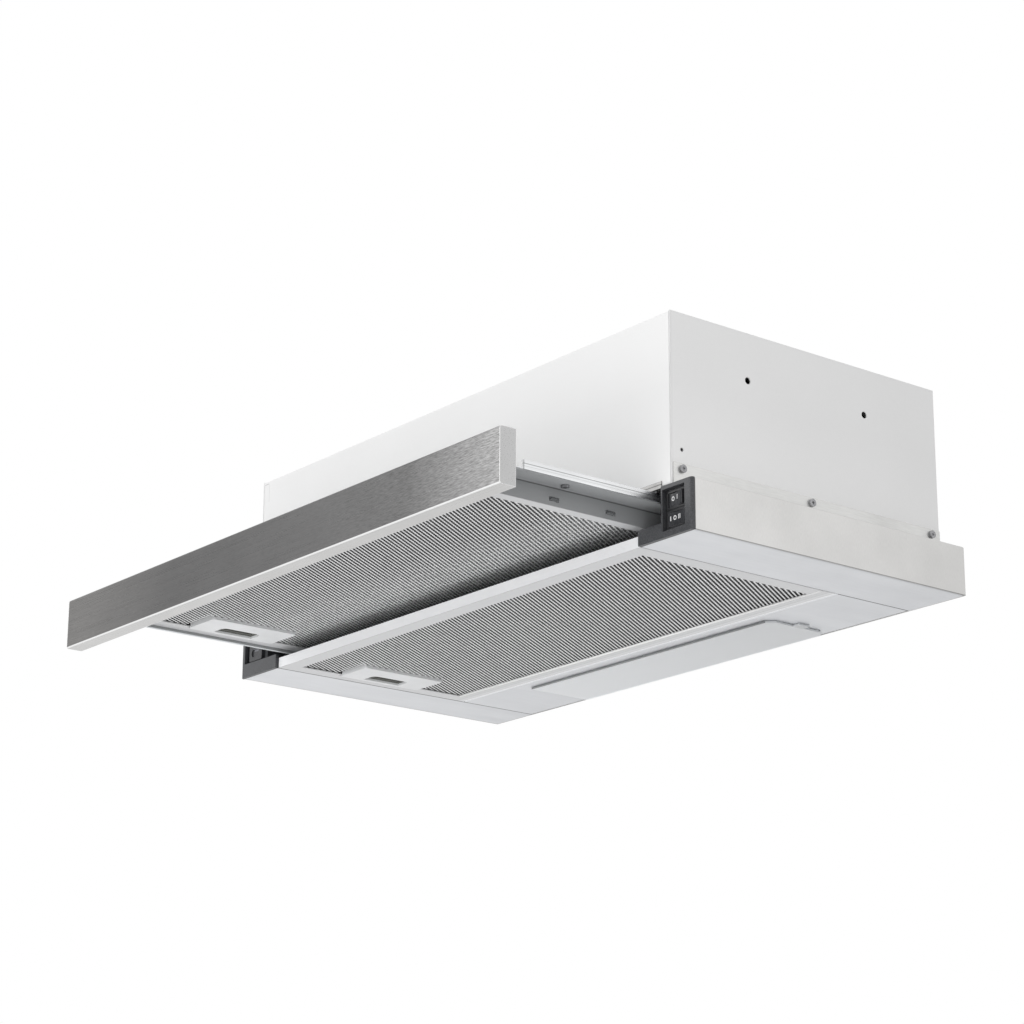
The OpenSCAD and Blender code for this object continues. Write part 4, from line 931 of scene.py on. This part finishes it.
def core_sheet(x, y, z):
    """Points and faces of the dark sheet for painted shade between the mesh layers, over x by y:
    one closed sheet with a wave under each row of openings."""
    verts, faces = [], []
    half = MESH_PITCH_X / 2
    columns = math.ceil((x[1] - x[0]) / half)
    for c in range(columns + 1):
        px = min(x[0] + c * half, x[1])
        top = z + (CORE_WAVE if c % 2 else 0)
        verts.extend(Vector((px, py, pz)) * MM for py in y for pz in (top, top + CORE_T))
        if c:
            a, b = 4 * c - 4, 4 * c
            faces.extend([
                (a, b, b + 2, a + 2),
                (a + 1, a + 3, b + 3, b + 1),
                (a, a + 1, b + 1, b),
                (a + 2, b + 2, b + 3, a + 3),
            ])
    last = 4 * columns
    faces.extend([(0, 2, 3, 1), (last, last + 1, last + 3, last + 2)])
    return verts, faces


def core_sheets(areas, z):
    """Points and faces of several core sheets as one, without finish numbers."""
    verts, faces = [], []
    for x, y in areas:
        sheet_verts, sheet_faces = core_sheet(x, y, z)
        base = len(verts)
        verts.extend(sheet_verts)
        faces.extend(tuple(base + k for k in face) for face in sheet_faces)
    return verts, faces, None


def dress_filter(prefix, body):
    """Fine expanded metal in place of a filter's two coarse sheets, with its core between them, a
    sheet that stands for the inner layers of mesh and is painted dark as their shade. It ends a
    little inside the coarse sheets, and its lower sheet leaves room for the handle."""
    handle_low, handle_high = sized(prefix + "filter_handle")
    low, high = sized(prefix + "filter_mesh")
    inset = FRAME_EDGE - SHEET_REACH
    x = (low.x + inset, high.x - inset)
    y = (low.y + inset, high.y - inset)
    notch = (handle_high.x + HANDLE_GAP, handle_low.y - HANDLE_GAP, handle_high.y + HANDLE_GAP)
    beside = (x[0], notch[0] - CORE_GAP)
    core_areas = [((notch[0], x[1]), y), (beside, (y[0], notch[1])), (beside, (notch[2], y[1]))]
    strands = ("mesh_aluminium", "mesh_turned_shade")
    # The core's painted shade, with painted glints of light in the drawer's filter
    core = ("mesh_glint" if prefix else "mesh_shade",)
    parts = {
        "mesh_lower": (expanded_sheet(x, y, low.z + SHEET_INSET, notch), strands),
        "mesh_upper": (expanded_sheet(x, y, high.z - SHEET_INSET, twist=0), strands),
        "mesh_shade_sheet": (core_sheets(core_areas, (low.z + high.z) / 2), core),
    }
    for name, ((verts, faces, finishes), looks) in parts.items():
        piece = new_piece(prefix + name, verts, faces, body, "mesh_aluminium", looks)
        if finishes:
            piece.data.polygons.foreach_set("material_index", finishes)
        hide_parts(prefix + "filter_mesh")


dress_filter("", "filter")
dress_filter("drawer_", "drawer")


# Bead of the fixed filter's window, sizes in millimetres. It stands proud of the frame's underside
BEAD_R = 0.95
BEAD_SINK = 0.35
BEAD_SIDES = 10


def window_bead():
    """A rolled bead along the rear edge of the fixed filter's window and on to the frame's end. Its
    near-white finish is a painted highlight on the rolled edge.
    """
    low, high = sized("filter_frame")
    ends = (low.x + FRAME_EDGE, highest("filter_mesh").x)
    y, z = high.y - FRAME_EDGE, low.z + BEAD_SINK
    verts, faces = [], [range(BEAD_SIDES), range(2 * BEAD_SIDES - 1, BEAD_SIDES - 1, -1)]
    for x in ends:
        for k in range(BEAD_SIDES):
            turn = math.tau * k / BEAD_SIDES
            place = Vector((x, y + BEAD_R * math.cos(turn), z + BEAD_R * math.sin(turn)))
            verts.append(place * MM)
    for k in range(BEAD_SIDES):
        n = (k + 1) % BEAD_SIDES
        faces.append((n, k, BEAD_SIDES + k, BEAD_SIDES + n))
    new_piece(
        "window_bead", verts, faces, "filter", "filter_aluminium", ("bead_highlight",), smooth=True
    )


window_bead()


# Raised marks on the rockers, sizes in millimetres
MARK_H = 3.6
MARK_STROKE = 0.8
MARK_RISE = 0.12
RING_STEPS = 24
RING_WIDTH_SHARE = 0.88

# The rockers' faces: their width, depth and dish, and how deep their pivot lies
ROCKER_W = 17.2
ROCKER_D = 4.0
ROCKER_DISH = 1.2
ROCKER_PIVOT_Y = 6.9

# How the face rises from its middle to its ends: shares of the half width and of the dish
ROCKER_RISE = ((0, 0), (0.5, 0.25), (1, 1))

# The light switch is off at rest, and the fan switch is in its middle place
LIGHT_TILT = math.radians(-10)
FAN_TILT = 0.0


def ring_mark(x, z):
    """Points (x, z) and faces of an upright oval ring."""
    points, faces = [], []
    for k in range(RING_STEPS):
        turn = math.tau * k / RING_STEPS
        for radius in (MARK_H / 2, MARK_H / 2 - MARK_STROKE):
            px = x + radius * RING_WIDTH_SHARE * math.cos(turn)
            points.append((px, z + radius * math.sin(turn)))
        a, b = 2 * k, 2 * ((k + 1) % RING_STEPS)
        faces.append((a, b, b + 1, a + 1))
    return points, faces


def bar_mark(x, z):
    """Points (x, z) and faces of an upright bar."""
    w, h = MARK_STROKE / 2, MARK_H / 2
    return [(x - w, z - h), (x + w, z - h), (x + w, z + h), (x - w, z + h)], [(0, 1, 2, 3)]


def rocker_face(offset):
    """How far a dished rocker's face lies in front of its pivot, at an offset from its middle."""
    share = abs(offset) / (ROCKER_W / 2)
    for (a, low), (b, high) in zip(ROCKER_RISE, ROCKER_RISE[1:]):
        if share <= b:
            return ROCKER_D - ROCKER_DISH * (1 - (low + (high - low) * (share - a) / (b - a)))
    return ROCKER_D


def mark_rocker(name, node, tilt, marks):
    """Raises marks off a rocker's face. Marks are (shape, x from the pivot, z from the middle)."""
    low, high = sized(node)
    switch_low, switch_high = sized(node.replace("rocker", "switch"))
    front = lowest("switch_cap_right").y
    pivot_x = (switch_low.x + switch_high.x) / 2
    pivot = Vector((pivot_x, front + ROCKER_PIVOT_Y, (low.z + high.z) / 2))
    turn = Matrix.Rotation(tilt, 3, "Z")
    verts, faces = [], []
    for shape, x, z in marks:
        points, rings = shape(x, z)
        base, count = len(verts), len(points)
        for lift in (MARK_RISE, -MARK_RISE):
            for px, pz in points:
                verts.append((pivot + turn @ Vector((px, -rocker_face(px) - lift, pz))) * MM)
        sides = [pair for ring in rings for pair in zip(ring, ring[1:] + ring[:1])]
        for ring in rings:
            faces.append([base + k for k in ring])
            faces.append([base + count + k for k in reversed(ring)])
        for p, q in sides:
            if (q, p) not in sides:
                faces.append((base + q, base + p, base + count + p, base + count + q))
    new_piece(name, verts, faces, node, "lamp_white", ("mark_white",))


mark_rocker("light_marks", "light_rocker", LIGHT_TILT, [
    (ring_mark, -4.6, 1.0), (bar_mark, 0.4, 1.6),
])
mark_rocker("fan_marks", "fan_rocker", FAN_TILT, [
    (bar_mark, -6.6, 0.6), (ring_mark, -2.6, 0.8), (bar_mark, 1.2, 1.0), (bar_mark, 2.8, 1.0),
])


# Light and surroundings, in metres
WORLD_LEVEL = 0.74
WHITE_LEVEL = 1.0
FLOOR_Z = -0.95
FLOOR_R = 3.0
FLOOR_STEPS = 96
FLOOR_PALE = (0.9, 0.9, 0.9, 1)
FLOOR_FADE_START = FLOOR_R * 0.45
FLOOR_FADE_END = FLOOR_R * 0.98

# Name, place, aim, size and level of each lamp
LAMPS = (
    ("key", (-1.7, -2.7, 1.3), (0, -0.2, 0), 1.6, 1.6),
    ("fill", (-0.3, -2.6, -0.5), (0, -0.3, 0.05), 1.4, 1.9),
    ("top", (0.6, -0.6, 2.4), (0, -0.2, 0), 1.6, 0.8),
    ("under", (0.1, -1.5, -0.9), (0.1, -0.28, 0), 1.0, 0.95),
)


def make_world():
    """A grey world for light, which the camera, gloss and glass see as white."""
    world = bpy.data.worlds.new("studio")
    bpy.context.scene.world = world
    world.use_nodes = True
    tree = world.node_tree
    tree.nodes.clear()
    path = tree.nodes.new("ShaderNodeLightPath")
    seen = total(tree, path.outputs["Is Camera Ray"], path.outputs["Is Glossy Ray"], "MAXIMUM")
    seen = total(tree, seen, path.outputs["Is Transmission Ray"], "MAXIMUM")
    strength = tree.nodes.new("ShaderNodeMix")
    strength.inputs[2].default_value = WORLD_LEVEL
    strength.inputs[3].default_value = WHITE_LEVEL
    tree.links.new(seen, strength.inputs[0])
    background = tree.nodes.new("ShaderNodeBackground")
    background.inputs["Color"].default_value = (1, 1, 1, 1)
    out = tree.nodes.new("ShaderNodeOutputWorld")
    tree.links.new(strength.outputs[0], background.inputs["Strength"])
    tree.links.new(background.outputs["Background"], out.inputs["Surface"])


def softbox(name, place, aim, size, level):
    """A square area lamp whose surface has the given brightness, where 1 is white."""
    data = bpy.data.lights.new(name, "AREA")
    data.shape = "SQUARE"
    data.size = size
    data.energy = level * math.pi * size * size
    lamp = bpy.data.objects.new(name, data)
    lamp.location = place
    lamp.rotation_euler = (Vector(aim) - Vector(place)).to_track_quat("-Z", "Y").to_euler()
    bpy.context.scene.collection.objects.link(lamp)


def make_floor():
    """A pale round floor that fades out at its edge and shows only from above."""
    ring = [math.tau * k / FLOOR_STEPS for k in range(FLOOR_STEPS)]
    verts = [(FLOOR_R * math.cos(turn), FLOOR_R * math.sin(turn), FLOOR_Z) for turn in ring]
    mesh = bpy.data.meshes.new("floor")
    mesh.from_pydata(verts, [], [range(FLOOR_STEPS)])
    floor = bpy.data.objects.new("floor", mesh)
    bpy.context.scene.collection.objects.link(floor)
    material, tree, shader = shaded("floor_paper")
    shader.inputs["Base Color"].default_value = FLOOR_PALE
    shader.inputs["Roughness"].default_value = 0.9
    shader.inputs["Specular IOR Level"].default_value = 0.0
    place = tree.nodes.new("ShaderNodeTexCoord")
    length = tree.nodes.new("ShaderNodeVectorMath")
    length.operation = "LENGTH"
    tree.links.new(place.outputs["Object"], length.inputs[0])
    fade = spread(tree, length.outputs["Value"], 1.0, 0.0, FLOOR_FADE_START, FLOOR_FADE_END)
    side = tree.nodes.new("ShaderNodeNewGeometry")
    above = masked(tree, side.outputs["Backfacing"], 1.0, 0.0)
    tree.links.new(total(tree, fade, above, "MULTIPLY"), shader.inputs["Alpha"])
    mesh.materials.append(material)


make_world()
make_floor()
for lamp_row in LAMPS:
    softbox(*lamp_row)

bpy.context.scene.view_settings.view_transform = "Standard"

bpy.context.view_layer.update()
